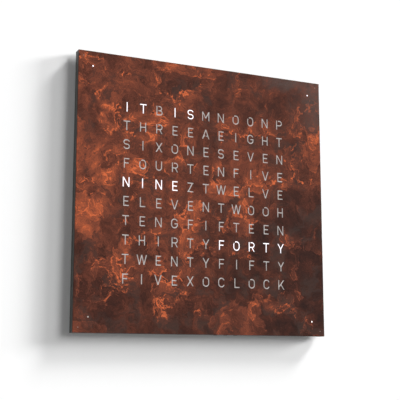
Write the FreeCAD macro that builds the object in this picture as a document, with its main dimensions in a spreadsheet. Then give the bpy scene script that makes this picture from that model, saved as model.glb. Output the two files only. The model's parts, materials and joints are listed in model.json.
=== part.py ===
"""Wall-hung word clock: a square patinated cover with cut-through letters on a flat lit body.

Frame: +X to the right, +Z up, the wall is the plane y = 0 and the clock stands out of it towards -Y.
"Depth" below always means the distance from the wall, so a depth of d lies at y = -d.
"""
import FreeCAD
import Part

import math
import os
import re

import Sketcher

Vector = FreeCAD.Vector

# ---------------------------------------------------------------- driving dimensions, in mm

DIMENSIONS = {
    # the whole clock
    "face_side": 450.0,
    "total_depth": 20.0,
    "wall_gap": 4.3,
    "cover_thick": 1.5,
    "cover_gap": 0.3,
    "diffuser_thick": 1.0,
    "diffuser_side": 412.0,
    "frame_wall": 13.0,
    "rear_thick": 2.0,
    "panel_lip": 6.0,
    "edge_break": 0.5,
    # letters
    "column_pitch": 28.25,
    "row_pitch": 31.0,
    "cap_height": 16.0,
    "stroke": 1.8,
    "bridge": 1.6,
    "land_recess": 0.3,
    "dot_offset": 200.5,
    "dot_radius": 1.25,
    # cover fixings
    "locator_offset": 216.5,
    "locator_radius": 1.5,
    "locator_reach": 6.0,
    "tenon_radius": 1.0,
    "magnet_offset": 218.5,
    "magnet_along": 110.0,
    "magnet_radius": 4.0,
    "magnet_thick": 4.0,
    # wall plate and hanging studs
    "plate_wide": 200.0,
    "plate_high": 150.0,
    "plate_thick": 1.5,
    "plate_corner": 8.0,
    "screw_span_x": 160.0,
    "screw_span_z": 110.0,
    "wall_hole_radius": 2.5,
    "head_room_radius": 7.0,
    "stud_span_x": 100.0,
    "stud_span_z": 120.0,
    "stud_radius": 2.5,
    "stud_head_radius": 4.5,
    "stud_head_thick": 1.6,
    "stud_collar_radius": 4.0,
    "stud_collar_thick": 1.0,
    "hang_travel": 9.0,
    "clearance": 0.3,
    "entry_radius": 5.5,
    # rear panel
    "panel_screw_offset": 215.5,
    "panel_screw_along": 140.0,
    "panel_screw_radius": 1.4,
    "panel_screw_length": 6.0,
    "screw_head_radius": 2.7,
    "screw_head_thick": 1.3,
    "recess_long": 2.8,
    "recess_wide": 0.7,
    "recess_deep": 0.8,
    "vent_wide": 3.0,
    "vent_high": 24.0,
    "vent_pitch": 12.0,
    "vent_offset": 190.0,
    "bumper_offset": 195.0,
    "bumper_radius": 8.0,
    "bumper_edge": 0.8,
    # lamp board and light grid
    "board_depth": 8.6,
    "board_thick": 1.6,
    "lamp_board_side": 330.0,
    "board_screw_offset": 161.0,
    "board_screw_radius": 1.25,
    "spacer_radius": 2.5,
    "grid_deep": 7.0,
    "grid_wall": 2.0,
    "ear_side": 10.0,
    "ear_thick": 2.0,
    "lamp_wide": 3.5,
    "lamp_high": 2.8,
    "lamp_thick": 1.6,
    "tube_radius": 6.0,
    "tube_bore": 4.5,
    "corner_board_wide": 20.0,
    "corner_board_high": 16.0,
    # control board
    "control_wide": 150.0,
    "control_top": -174.0,
    "control_bottom": -208.5,
    "control_spacer_x": 71.0,
    "control_spacer_inset": 5.0,
    "socket_x": -45.0,
    "socket_depth": 12.1,
    "socket_body": 9.0,
    "socket_body_high": 12.0,
    "socket_set_back": 0.4,
    "socket_nose_radius": 4.2,
    "socket_bore_radius": 2.8,
    "socket_bore_deep": 10.0,
    "socket_pin_radius": 1.0,
    "cell_x": -8.0,
    "cell_z": -190.0,
    "cell_radius": 10.0,
    "cell_thick": 3.2,
    "cell_seat": 1.2,
    "holder_side": 24.0,
    "contact_wide": 5.0,
    "contact_thick": 0.3,
    "ribbon_x": 30.0,
    "ribbon_wide": 22.0,
    "ribbon_thick": 0.8,
    "ribbon_lift": 1.6,
    "connector_deep": 5.0,
    "connector_high": 4.0,
    "plug_side": 5.0,
    "plug_high": 3.5,
    "chip_z": -191.0,
    "crystal_x": 14.0,
    "crystal_bottom": -192.0,
    "crystal_top": -186.0,
    "crystal_radius": 1.5,
    "regulator_x": -62.0,
    "regulator_z": -197.0,
    "regulator_tab_wide": 6.0,
    "regulator_tab_high": 9.0,
    "regulator_tab_thick": 0.6,
    "regulator_case_wide": 6.6,
    "regulator_case_high": 6.2,
    "regulator_case_thick": 1.8,
    "choke_x": -60.0,
    "choke_z": -186.0,
    "choke_side": 7.0,
    "choke_high": 4.0,
    "can_radius": 3.0,
    "can_high": 5.6,
    "can_base_radius": 3.3,
    "can_base_high": 0.8,
    # push buttons
    "first_button_x": 20.0,
    "button_pitch": 18.0,
    "cap_radius": 3.2,
    "cap_proud": 0.6,
    "button_flange_radius": 3.9,
    "button_flange_thick": 1.2,
    "button_stem_radius": 1.5,
    "plunger_radius": 1.6,
    "switch_side": 6.0,
    "switch_deep": 3.5,
    "switch_mouth_deep": 1.4,
    "button_tip_gap": 2.5,
    "dome_seat": 1.5,
    "dome_radius": 1.7,
    "dome_height": 0.9,
    "dome_sheet": 0.12,
    # radio receiver and light sensor
    "rod_x": -60.0,
    "rod_z": 188.0,
    "rod_length": 60.0,
    "rod_radius": 4.0,
    "rod_lift": 5.6,
    "post_thick": 5.0,
    "post_high": 13.0,
    "post_inset": 6.0,
    "coil_radius": 5.2,
    "coil_length": 26.0,
    "radio_board_x": -8.0,
    "radio_board_z": 190.0,
    "radio_board_wide": 22.0,
    "radio_board_high": 16.0,
    "sensor_x": 120.0,
    "sensor_board_z": 203.0,
    "sensor_board_wide": 14.0,
    "sensor_board_high": 12.0,
    "sensor_z": 206.8,
    "sensor_wide": 4.0,
    "sensor_high": 3.4,
    "sensor_thick": 2.4,
    "pipe_bottom": 209.2,
    "pipe_radius": 1.8,
    "lead_radius": 0.8,
}

# Stations through the depth of the clock, worked out from the dimensions above.
FLOOR = "(wall_gap + rear_thick)"
FRAME_FRONT = "(total_depth - cover_thick - cover_gap)"
FRAME_DEEP = "(total_depth - cover_thick - cover_gap - wall_gap)"
COVER_BACK = "(total_depth - cover_thick)"
DIFFUSER_BACK = "(total_depth - cover_thick - diffuser_thick)"
LAND_FRONT = "(total_depth - land_recess)"
BOARD_FRONT = "(board_depth + board_thick)"
GRID_FRONT = "(board_depth + board_thick + grid_deep)"
INSIDE = "(face_side / 2 - frame_wall)"
BUTTON_DEPTH = "(board_depth + board_thick + switch_side / 2)"
BUTTON_SEAT = "(face_side / 2 - frame_wall + 4)"

# Small boards along the top edge: (across, up, wide, high).
RADIO_BOARD = ("radio_board_x", "radio_board_z", "radio_board_wide", "radio_board_high")
SENSOR_BOARD = ("sensor_x", "sensor_board_z", "sensor_board_wide", "sensor_board_high")

# The face reads hours first and minutes after: "it is nine forty" and so on.
FACE_ROWS = (
    "ITBISMNOONP",
    "THREEAEIGHT",
    "SIXONESEVEN",
    "FOURTENFIVE",
    "NINEZTWELVE",
    "ELEVENTWOOH",
    "TENGFIFTEEN",
    "THIRTYFORTY",
    "TWENTYFIFTY",
    "FIVEXOCLOCK",
)

QUARTERS = ((1, 1), (-1, 1), (-1, -1), (1, -1))

doc = FreeCAD.newDocument("word_clock")
dims = doc.addObject("Spreadsheet::Sheet", "dims")
for row, (alias, number) in enumerate(DIMENSIONS.items(), start=1):
    dims.set("A%d" % row, alias)
    dims.set("B%d" % row, str(number))
    dims.setAlias("B%d" % row, alias)
doc.recompute()

pieces = []


# ---------------------------------------------------------------- helpers

def bound(text):
    """Turn a formula of plain names into one that reads the sheet's cells."""
    return re.sub(r"[A-Za-z_]\w*", lambda word: "dims." + word.group(0), str(text))


def value(text):
    """The number that a formula gives now."""
    return float(dims.evalExpression(bound(text)))


def bind(thing, target, text):
    """Tie one property or constraint to a formula of sheet cells."""
    thing.setExpression(target, bound(text))


def keep(piece, label):
    """Name a finished sub-part and put it on the list to be written."""
    piece.Label = label
    pieces.append(piece)
    return piece


def place(piece, across="0", depth="0", up="0"):
    """Put a piece's own origin at a place given by formulas."""
    bind(piece, "Placement.Base.x", across)
    bind(piece, "Placement.Base.y", "-(%s)" % depth)
    bind(piece, "Placement.Base.z", up)


def new_body(name, depth="0"):
    """A body whose own XZ plane lies at the given depth, with its pads growing away from the wall."""
    body = doc.addObject("PartDesign::Body", name)
    body.AllowCompound = True
    bind(body, "Placement.Base.y", "-(%s)" % depth)
    return body


def new_sketch(body, name, plane="XZ_Plane", offset="0"):
    """A sketch on one of the body's own planes, moved along that plane's normal."""
    sketch = body.newObject("Sketcher::SketchObject", name)
    support = [feature for feature in body.Origin.OriginFeatures if feature.Role == plane][0]
    sketch.AttachmentSupport = [(support, "")]
    sketch.MapMode = "FlatFace"
    bind(sketch, "AttachmentOffset.Base.z", offset)
    return sketch


def hold(sketch, kind, *where):
    """Add a dimension whose last argument is a formula."""
    *geometry, text = where
    number = sketch.addConstraint(Sketcher.Constraint(kind, *geometry, value(text)))
    bind(sketch, "Constraints[%d]" % number, text)


def add_circle(sketch, across, up, radius):
    """A circle at formulas for its centre and radius."""
    centre = Vector(value(across), value(up), 0)
    circle = sketch.addGeometry(Part.Circle(centre, Vector(0, 0, 1), value(radius)), False)
    hold(sketch, "Radius", circle, radius)
    hold(sketch, "DistanceX", -1, 1, circle, 3, across)
    hold(sketch, "DistanceY", -1, 1, circle, 3, up)


def add_rectangle(sketch, across, up, wide, high):
    """A rectangle about a centre, its sides along the sketch's axes."""
    x, y = value(across), value(up)
    dx, dy = value(wide) / 2, value(high) / 2
    corners = [Vector(x + sx * dx, y + sz * dy, 0) for sx, sz in ((-1, -1), (1, -1), (1, 1), (-1, 1))]
    lines = []
    for start, end in zip(corners, corners[1:] + corners[:1]):
        lines.append(sketch.addGeometry(Part.LineSegment(start, end), False))
    for line, following, direction in zip(lines, lines[1:] + lines[:1], ("Horizontal", "Vertical") * 2):
        sketch.addConstraint(Sketcher.Constraint("Coincident", line, 2, following, 1))
        sketch.addConstraint(Sketcher.Constraint(direction, line))
    hold(sketch, "DistanceX", lines[0], 1, lines[0], 2, wide)
    hold(sketch, "DistanceY", lines[1], 1, lines[1], 2, high)
    hold(sketch, "DistanceX", -1, 1, lines[0], 1, "(%s) - (%s) / 2" % (across, wide))
    hold(sketch, "DistanceY", -1, 1, lines[0], 1, "(%s) - (%s) / 2" % (up, high))


def add_pad(body, sketch, length):
    """Grow a sketch away from the wall."""
    pad = body.newObject("PartDesign::Pad", "pad")
    pad.Profile = sketch
    bind(pad, "Length", length)
    return pad


def cut_pocket(body, sketch, length=None, away=False):
    """Cut a sketch against its normal, or along it when away is set; no length cuts right through."""
    before = solid_volume(body)
    pocket = body.newObject("PartDesign::Pocket", "pocket")
    pocket.Profile = sketch
    pocket.Reversed = away
    if length is None:
        pocket.Type = "ThroughAll"
    else:
        bind(pocket, "Length", length)
    if not solid_volume(body) < before:
        raise RuntimeError("pocket cuts nothing: %s" % sketch.Name)
    return pocket


def solid_volume(body):
    """Volume of a body as it stands."""
    doc.recompute()
    return body.Shape.Volume


def break_edges(body, keep_edge, size):
    """Chamfer the edges of a body's last feature that a test picks."""
    doc.recompute()
    tip = body.Tip
    names = ["Edge%d" % (i + 1) for i, edge in enumerate(tip.Shape.Edges) if keep_edge(edge)]
    chamfer = body.newObject("PartDesign::Chamfer", "edge_break")
    chamfer.Base = (tip, names)
    bind(chamfer, "Size", size)


def round_edges(body, keep_edge, size):
    """Fillet the edges of a body's last feature that a test picks."""
    doc.recompute()
    tip = body.Tip
    names = ["Edge%d" % (i + 1) for i, edge in enumerate(tip.Shape.Edges) if keep_edge(edge)]
    rounding = body.newObject("PartDesign::Fillet", "rounding")
    rounding.Base = (tip, names)
    bind(rounding, "Radius", size)


def ring_test(plane_y, radius):
    """A test for the circular edges of one radius that lie at plane_y of the body."""
    def on_ring(edge):
        if not isinstance(edge.Curve, Part.Circle):
            return False
        return abs(edge.Curve.Center.y - plane_y) < 0.01 and abs(edge.Curve.Radius - radius) < 0.01
    return on_ring


def rim_test(plane_y, half_side):
    """A test for the straight outer edges of a square face that lies at plane_y."""
    def on_rim(edge):
        ends = [vertex.Point for vertex in edge.Vertexes]
        flat = all(abs(end.y - plane_y) < 0.01 for end in ends)
        outer = all(max(abs(end.x), abs(end.z)) > half_side - 0.01 for end in ends)
        return flat and outer and edge.Length > half_side
    return on_rim


def disc_group(label, centres, layers):
    """Round pieces at several places: each layer is (radius, from depth, to depth)."""
    body = new_body(label)
    for number, (radius, start, end) in enumerate(layers):
        sketch = new_sketch(body, "%s_ring_%d" % (label, number), offset=start)
        for across, up in centres:
            add_circle(sketch, across, up, radius)
        add_pad(body, sketch, "(%s) - (%s)" % (end, start))
    return keep(body, label)


def screw_group(label, centres, shank_radius, seat, tip, outward):
    """Screws with domed heads and cross recesses, from a head seated at one depth to a tip at another.

    The heads point away from the wall where outward is true, and at it otherwise.
    """
    body = new_body(label)
    side = "+" if outward else "-"
    crown = "(%s) %s screw_head_thick" % (seat, side)
    shank_start, shank_end = (tip, seat) if outward else (seat, tip)
    head_start, head_end = (seat, crown) if outward else (crown, seat)
    discs = {
        "shank": (shank_radius, shank_start, shank_end),
        "head": ("screw_head_radius", head_start, head_end),
    }
    for part, (radius, start, end) in discs.items():
        sketch = new_sketch(body, "%s_%s" % (label, part), offset=start)
        for across, up in centres:
            add_circle(sketch, across, up, radius)
        add_pad(body, sketch, "(%s) - (%s)" % (end, start))
    round_edges(body, ring_test(-value(crown), value("screw_head_radius")), "screw_head_thick / 2")
    bars = (("level", "recess_long", "recess_wide"), ("upright", "recess_wide", "recess_long"))
    for part, wide, high in bars:
        slot = new_sketch(body, "%s_%s_slot" % (label, part), offset=crown)
        for across, up in centres:
            add_rectangle(slot, across, up, wide, high)
        cut_pocket(body, slot, "recess_deep", away=not outward)
    return keep(body, label)


def tube_group(label, centres, radius, bore, start, end):
    """Round tubes at several places."""
    body = new_body(label, start)
    sketch = new_sketch(body, label + "_walls")
    for across, up in centres:
        add_circle(sketch, across, up, radius)
        add_circle(sketch, across, up, bore)
    add_pad(body, sketch, "(%s) - (%s)" % (end, start))
    return keep(body, label)


def block_group(label, blocks, start, end):
    """Flat blocks, each (across, up, wide, high), between two depths."""
    body = new_body(label, start)
    sketch = new_sketch(body, label + "_outline")
    for block in blocks:
        add_rectangle(sketch, *block)
    add_pad(body, sketch, "(%s) - (%s)" % (end, start))
    return keep(body, label)


def block(name, across, up, wide, high, start, end):
    """A box about (across, up), between two depths."""
    box = doc.addObject("Part::Box", name)
    bind(box, "Length", wide)
    bind(box, "Width", "(%s) - (%s)" % (end, start))
    bind(box, "Height", high)
    place(box, "(%s) - (%s) / 2" % (across, wide), end, "(%s) - (%s) / 2" % (up, high))
    return box


def upright(name, across, depth, bottom, top, radius):
    """A vertical cylinder between two heights."""
    cylinder = doc.addObject("Part::Cylinder", name)
    bind(cylinder, "Radius", radius)
    bind(cylinder, "Height", "(%s) - (%s)" % (top, bottom))
    place(cylinder, across, depth, bottom)
    return cylinder


def facing(name, across, up, start, end, radius):
    """A cylinder that stands out from the wall between two depths."""
    cylinder = doc.addObject("Part::Cylinder", name)
    bind(cylinder, "Radius", radius)
    bind(cylinder, "Height", "(%s) - (%s)" % (end, start))
    cylinder.Placement.Rotation = FreeCAD.Rotation(Vector(1, 0, 0), 90)
    place(cylinder, across, start, up)
    return cylinder


def sideways(name, middle, depth, up, length, radius):
    """A cylinder that lies along X about a middle point."""
    cylinder = doc.addObject("Part::Cylinder", name)
    bind(cylinder, "Radius", radius)
    bind(cylinder, "Height", length)
    cylinder.Placement.Rotation = FreeCAD.Rotation(Vector(0, 1, 0), 90)
    place(cylinder, "(%s) - (%s) / 2" % (middle, length), depth, up)
    return cylinder


def fused(name, *shapes):
    """One solid out of several."""
    joined = doc.addObject("Part::MultiFuse", name)
    joined.Shapes = list(shapes)
    return joined


def minus(name, base, tool):
    """A base less one tool."""
    cut = doc.addObject("Part::Cut", name)
    cut.Base = base
    cut.Tool = tool
    return cut


def own_shape(label, shape):
    """A sub-part whose shape comes from a function."""
    feature = doc.addObject("Part::Feature", label)
    feature.Shape = shape
    feature.Placement = FreeCAD.Placement()
    return feature


def quarter_places(across, up):
    """A place and its three mirror images."""
    return [("%d * (%s)" % (sx, across), "%d * (%s)" % (sz, up)) for sx, sz in QUARTERS]


# ---------------------------------------------------------------- letters

class Pen:
    """Draws one letter's cut-out as flat faces in a box of the letter's width and the cap height."""

    def __init__(self):
        self.tall = value("cap_height")
        self.line = value("stroke")
        self.gap = value("bridge")
        self.half = self.line / 2

    def bar(self, left, bottom, right, top):
        """An upright rectangle between two corners."""
        points = [Vector(left, 0, bottom), Vector(right, 0, bottom)]
        points += [Vector(right, 0, top), Vector(left, 0, top)]
        return Part.Face(Part.makePolygon(points + points[:1]))

    def stem(self, middle, bottom=0.0, top=None):
        """A vertical stroke about a middle line."""
        top = self.tall if top is None else top
        return self.bar(middle - self.half, bottom, middle + self.half, top)

    def beam(self, middle, left, right):
        """A horizontal stroke about a middle line."""
        return self.bar(left, middle - self.half, right, middle + self.half)

    def slant(self, low, high, bottom=0.0, top=None):
        """A sloping stroke with level ends, from a middle at the bottom to a middle at the top."""
        top = self.tall if top is None else top
        level = self.half * math.hypot(high - low, top - bottom) / (top - bottom)
        points = [Vector(low - level, 0, bottom), Vector(low + level, 0, bottom)]
        points += [Vector(high + level, 0, top), Vector(high - level, 0, top)]
        return Part.Face(Part.makePolygon(points + points[:1]))

    def bend(self, across, up, radius, start, end):
        """A curved stroke: part of a ring about a centre, between two angles in degrees."""
        centre, axis = Vector(across, 0, up), Vector(0, -1, 0)
        rings = [Part.Circle(centre, axis, radius + side * self.half) for side in (1, -1)]
        zero = rings[0].value(0) - rings[0].Center
        offset = math.atan2(zero.z, zero.x)
        first, last = math.radians(start) - offset, math.radians(end) - offset
        outer, inner = [Part.Arc(ring, first, last) for ring in rings]
        end_cap = Part.LineSegment(outer.EndPoint, inner.EndPoint)
        start_cap = Part.LineSegment(inner.StartPoint, outer.StartPoint)
        edges = [line.toShape() for line in (outer, end_cap, inner, start_cap)]
        return Part.Face(Part.Wire(Part.__sortEdges__(edges)))

    def bowl(self, left, right, bottom, top):
        """A right-hand bowl: two beams and a half-round or rounded end, given by stroke middles."""
        radius = min((top - bottom) / 2, (right - left) * 0.75)
        turn = right - radius
        strokes = [self.beam(top, left, turn), self.beam(bottom, left, turn)]
        strokes.append(self.bend(turn, top - radius, radius, 0, 90))
        strokes.append(self.bend(turn, bottom + radius, radius, 270, 360))
        if top - bottom > 2 * radius + 0.01:
            strokes.append(self.stem(right, bottom + radius, top - radius))
        return strokes


# Width of each capital; the rest of its drawing follows from the cap height and the stroke.
LETTER_WIDTHS = {
    "A": 13.6, "B": 11.0, "C": 11.7, "E": 9.5, "F": 9.5, "G": 12.0, "H": 10.8, "K": 11.8,
    "L": 9.5, "M": 13.4, "N": 11.6, "O": 11.8, "P": 11.3, "R": 11.1, "S": 11.0, "T": 11.5,
    "U": 11.4, "V": 13.0, "W": 18.0, "X": 12.1, "Y": 12.4, "Z": 10.9,
}
LEAN_INSET = 1.05        # from a letter's side to the middle of a sloping stroke that ends there
STEM_LETTERS = "BEFKLPR" # their stem is on the left only, so they stand a little to the right
STEM_SHIFT = 0.45


def letter_strokes(pen, letter):
    """The strokes of one capital and its width; closed counters get bridges of solid plate."""
    if letter == "I":
        return [pen.stem(pen.half)], pen.line
    wide = LETTER_WIDTHS[letter]
    if letter == "S":
        return snake_letter(pen, wide), wide
    drawings = {
        "EFHLNTZ": plain_letter,
        "AKMVWXY": leaning_letter,
        "BPR": bowl_letter,
        "CGOU": round_letter,
    }
    for letters, draw in drawings.items():
        if letter in letters:
            return draw(pen, letter, wide), wide
    raise ValueError("no drawing for the letter " + letter)


def plain_letter(pen, letter, wide):
    """E, F, H, L, N, T and Z: upright and level strokes, with one slope in N and Z."""
    half, mid = pen.half, pen.tall / 2
    top, low = pen.tall - half, half
    short_arm = wide - 1.2
    slope_inset = 1.2
    strokes = {
        "E": [pen.stem(half), pen.beam(low, 0, wide), pen.beam(top, 0, wide), pen.beam(mid, 0, short_arm)],
        "F": [pen.stem(half), pen.beam(top, 0, wide), pen.beam(mid, 0, short_arm)],
        "H": [pen.stem(half), pen.stem(wide - half), pen.beam(mid, half, wide - half)],
        "L": [pen.stem(half), pen.beam(low, 0, wide)],
        "N": [pen.stem(half), pen.stem(wide - half), pen.slant(wide - half, half)],
        "T": [pen.beam(top, 0, wide), pen.stem(wide / 2)],
        "Z": [pen.beam(top, 0, wide), pen.beam(low, 0, wide), pen.slant(slope_inset, wide - slope_inset)],
    }
    return strokes[letter]


def leaning_letter(pen, letter, wide):
    """A, K, M, V, W, X and Y: sloping strokes, with a split bar in A."""
    half, middle = pen.half, wide / 2
    left, right = LEAN_INSET, wide - LEAN_INSET
    if letter == "A":
        bar, bar_inset = 4.9, 2.9
        bridge_left, bridge_right = middle - pen.gap / 2, middle + pen.gap / 2
        strokes = [pen.slant(left, middle), pen.slant(right, middle)]
        strokes.append(pen.beam(bar, bar_inset, bridge_left))
        strokes.append(pen.beam(bar, bridge_right, wide - bar_inset))
        return strokes
    if letter == "K":
        branch_foot, leg_top = 5.2, 8.9
        arm = pen.slant(2.0, wide - 1.6, branch_foot)
        leg = pen.slant(wide - 1.1, 4.7, 0, leg_top)
        return [pen.stem(half), arm, leg]
    if letter == "M":
        dip = 4.6
        strokes = [pen.stem(half), pen.stem(wide - half)]
        return strokes + [pen.slant(middle, shoulder, dip) for shoulder in (half, wide - half)]
    if letter == "V":
        return [pen.slant(middle, left), pen.slant(middle, right)]
    if letter == "W":
        foot = 5.1
        strokes = [pen.slant(foot, left), pen.slant(foot, middle)]
        return strokes + [pen.slant(wide - foot, middle), pen.slant(wide - foot, right)]
    if letter == "X":
        return [pen.slant(left, right), pen.slant(right, left)]
    fork = 7.0
    return [pen.slant(middle, left, fork), pen.slant(middle, right, fork), pen.stem(middle, 0, fork)]


def bowl_letter(pen, letter, wide):
    """B, P and R: a stem with bowls, held to the plate inside by bridges."""
    half, mid = pen.half, pen.tall / 2
    top, low = pen.tall - half, half
    right = wide - half
    edge = pen.line + pen.gap
    overlap = 0.1
    strokes = [pen.stem(half)]
    if letter == "B":
        upper_right = right - 1.0
        strokes += pen.bowl(edge, upper_right, mid, top) + pen.bowl(edge, right, low, mid)
        return strokes + [pen.beam(low, 0, edge + overlap)]
    waist = mid - 0.9
    strokes += pen.bowl(edge, right, waist, top) + [pen.beam(waist, 0, edge + overlap)]
    if letter == "R":
        strokes.append(pen.slant(wide - LEAN_INSET, wide - 5.0, 0, waist))
    return strokes


def round_letter(pen, letter, wide):
    """C, G, O and U: half rounds joined by straight sides."""
    half, tall, middle = pen.half, pen.tall, wide / 2
    radius = middle - half
    low, high = half + radius, tall - half - radius
    left, right = half, wide - half
    cup = pen.bend(middle, low, radius, 180, 360)
    if letter == "U":
        return [cup, pen.stem(left, low), pen.stem(right, low)]
    if letter == "O":
        split, half_gap = 135, 14
        crown = [pen.bend(middle, high, radius, 0, split - half_gap)]
        crown.append(pen.bend(middle, high, radius, split + half_gap, 180))
        return crown + [cup, pen.stem(left, low, high), pen.stem(right, low, high)]
    open_angle = 20
    strokes = [pen.bend(middle, high, radius, open_angle, 180), pen.stem(left, low, high)]
    if letter == "C":
        return strokes + [pen.bend(middle, low, radius, 180, 360 - open_angle)]
    shelf = tall / 2 - 0.4
    return strokes + [cup, pen.stem(right, low, shelf), pen.beam(shelf, middle, wide)]


def snake_letter(pen, wide):
    """S: two bends that turn opposite ways, joined by three beams."""
    half, tall = pen.half, pen.tall
    radius = (tall - pen.line) / 4
    left, right = half + radius, wide - half - radius
    high, low = tall - half - radius, half + radius
    open_angle = 15
    strokes = [pen.bend(right, high, radius, open_angle, 90), pen.beam(tall - half, left, right)]
    strokes += [pen.bend(left, high, radius, 90, 270), pen.beam(tall / 2, left, right)]
    strokes += [pen.bend(right, low, radius, -90, 90), pen.beam(half, left, right)]
    return strokes + [pen.bend(left, low, radius, 180 + open_angle, 270)]


def letter_cutter(pen, letter):
    """One letter as a solid that stands past both sides of the cover, about the middle of its cell."""
    strokes, wide = letter_strokes(pen, letter)
    past = 1.0
    depth = Vector(0, -(value("cover_thick") + 2 * past), 0)
    solids = [stroke.extrude(depth) for stroke in strokes]
    solid = solids[0].multiFuse(solids[1:]) if len(solids) > 1 else solids[0]
    shift = STEM_SHIFT if letter in STEM_LETTERS else 0
    solid.translate(Vector(shift - wide / 2, -value(COVER_BACK) + past, -pen.tall / 2))
    return solid.removeSplitter()


def face_places():
    """Each letter of the face with the centre of its cell."""
    column_pitch, row_pitch = value("column_pitch"), value("row_pitch")
    for row, word in enumerate(FACE_ROWS):
        for column, letter in enumerate(word):
            across = (column - (len(word) - 1) / 2) * column_pitch
            up = ((len(FACE_ROWS) - 1) / 2 - row) * row_pitch
            yield letter, across, up


def letter_cutters():
    """Every cut-out of the face as one tool."""
    pen = Pen()
    patterns = {}
    solids = []
    for letter, across, up in face_places():
        if letter not in patterns:
            patterns[letter] = letter_cutter(pen, letter)
        solid = patterns[letter].copy()
        solid.translate(Vector(across, 0, up))
        solids.append(solid)
    return own_shape("letter_cutters", Part.makeCompound(solids))


# ---------------------------------------------------------------- cover

def front_cover(letters):
    """The patinated plate with its letters, corner points and stud holes."""
    blank = new_body("cover_blank", COVER_BACK)
    outline = new_sketch(blank, "cover_outline")
    add_rectangle(outline, "0", "0", "face_side", "face_side")
    add_pad(blank, outline, "cover_thick")
    holes = new_sketch(blank, "corner_points")
    for across, up in quarter_places("dot_offset", "dot_offset"):
        add_circle(holes, across, up, "dot_radius")
    for across, up in quarter_places("locator_offset", "locator_offset"):
        add_circle(holes, across, up, "tenon_radius")
    cut_pocket(blank, holes, away=True)
    break_edges(blank, rim_test(-value("cover_thick"), value("face_side") / 2), "edge_break / 2")
    keep(minus("front_cover", blank, letters), "front_cover")


def cover_diffuser(letters):
    """The white sheet bonded behind the cover; its raised letters and points fill the cut-outs."""
    body = new_body("diffuser_sheet", DIFFUSER_BACK)
    outline = new_sketch(body, "diffuser_outline")
    add_rectangle(outline, "0", "0", "diffuser_side", "diffuser_side")
    add_pad(body, outline, "diffuser_thick")
    points = new_sketch(body, "raised_points")
    for across, up in quarter_places("dot_offset", "dot_offset"):
        add_circle(points, across, up, "dot_radius")
    add_pad(body, points, LAND_FRONT + " - " + DIFFUSER_BACK)
    root = DIFFUSER_BACK + " + diffuser_thick / 2"
    slab = block("land_slab", "0", "0", "diffuser_side", "diffuser_side", root, LAND_FRONT)
    lands = doc.addObject("Part::Common", "raised_letters")
    lands.Base = slab
    lands.Tool = letters
    keep(fused("cover_diffuser", body, lands), "cover_diffuser")


def locating_studs():
    """Four studs whose thin ends are riveted flush through the cover."""
    places = quarter_places("locator_offset", "locator_offset")
    layers = (
        ("locator_radius", COVER_BACK + " - locator_reach", COVER_BACK),
        ("tenon_radius", COVER_BACK, "total_depth"),
    )
    disc_group("locating_studs", places, layers)


# ---------------------------------------------------------------- body

def magnet_places():
    """Two magnets along each side of the frame."""
    upright_sides = quarter_places("magnet_offset", "magnet_along")
    level_sides = quarter_places("magnet_along", "magnet_offset")
    return upright_sides + level_sides


def panel_screw_places():
    """Three screws along each side of the rear panel."""
    places = []
    for side in (-1, 1):
        for along in (-1, 0, 1):
            offset, reach = "%d * panel_screw_offset" % side, "%d * panel_screw_along" % along
            places += [(offset, reach), (reach, offset)]
    return places


def button_across(number):
    """Where each of the three buttons stands along the bottom edge."""
    return "(first_button_x + %d * button_pitch)" % number


def body_frame():
    """The lacquered ring that gives the clock its sides."""
    body = new_body("body_frame", "wall_gap")
    ring = new_sketch(body, "frame_ring")
    add_rectangle(ring, "0", "0", "face_side", "face_side")
    add_rectangle(ring, "0", "0", "2 * " + INSIDE, "2 * " + INSIDE)
    add_pad(body, ring, FRAME_DEEP)
    button_up = "wall_gap - " + BUTTON_DEPTH

    rebate = new_sketch(body, "panel_rebate")
    add_rectangle(rebate, "0", "0", "face_side - 2 * panel_lip", "face_side - 2 * panel_lip")
    cut_pocket(body, rebate, "rear_thick", away=True)

    pilots = new_sketch(body, "panel_screw_pilots")
    for across, up in panel_screw_places():
        add_circle(pilots, across, up, "panel_screw_radius")
    cut_pocket(body, pilots, "rear_thick + panel_screw_length", away=True)

    seats = new_sketch(body, "magnet_seats", offset=FRAME_DEEP)
    for across, up in magnet_places():
        add_circle(seats, across, up, "magnet_radius")
    cut_pocket(body, seats, "magnet_thick")

    sockets = new_sketch(body, "locator_holes", offset=FRAME_DEEP)
    for across, up in quarter_places("locator_offset", "locator_offset"):
        add_circle(sockets, across, up, "locator_radius + clearance")
    cut_pocket(body, sockets, "locator_reach + 1")

    below = new_sketch(body, "bottom_holes", plane="XY_Plane")
    add_circle(below, "socket_x", "wall_gap - socket_depth", "socket_nose_radius + clearance")
    for number in range(3):
        add_circle(below, button_across(number), button_up, "cap_radius + clearance")
    cut_pocket(body, below)

    recess = new_sketch(body, "flange_recesses", plane="XY_Plane")
    for number in range(3):
        add_circle(recess, button_across(number), button_up, "button_flange_radius + clearance")
    cut_pocket(body, recess, BUTTON_SEAT)

    above = new_sketch(body, "sensor_hole", plane="XY_Plane")
    add_circle(above, "sensor_x", "-(%s) / 2" % FRAME_DEEP, "pipe_radius")
    cut_pocket(body, above, away=True)

    break_edges(body, rim_test(-value(FRAME_DEEP), value("face_side") / 2), "edge_break")
    break_edges(body, rim_test(0, value("face_side") / 2), "edge_break")
    keep(body, "body_frame")


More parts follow.
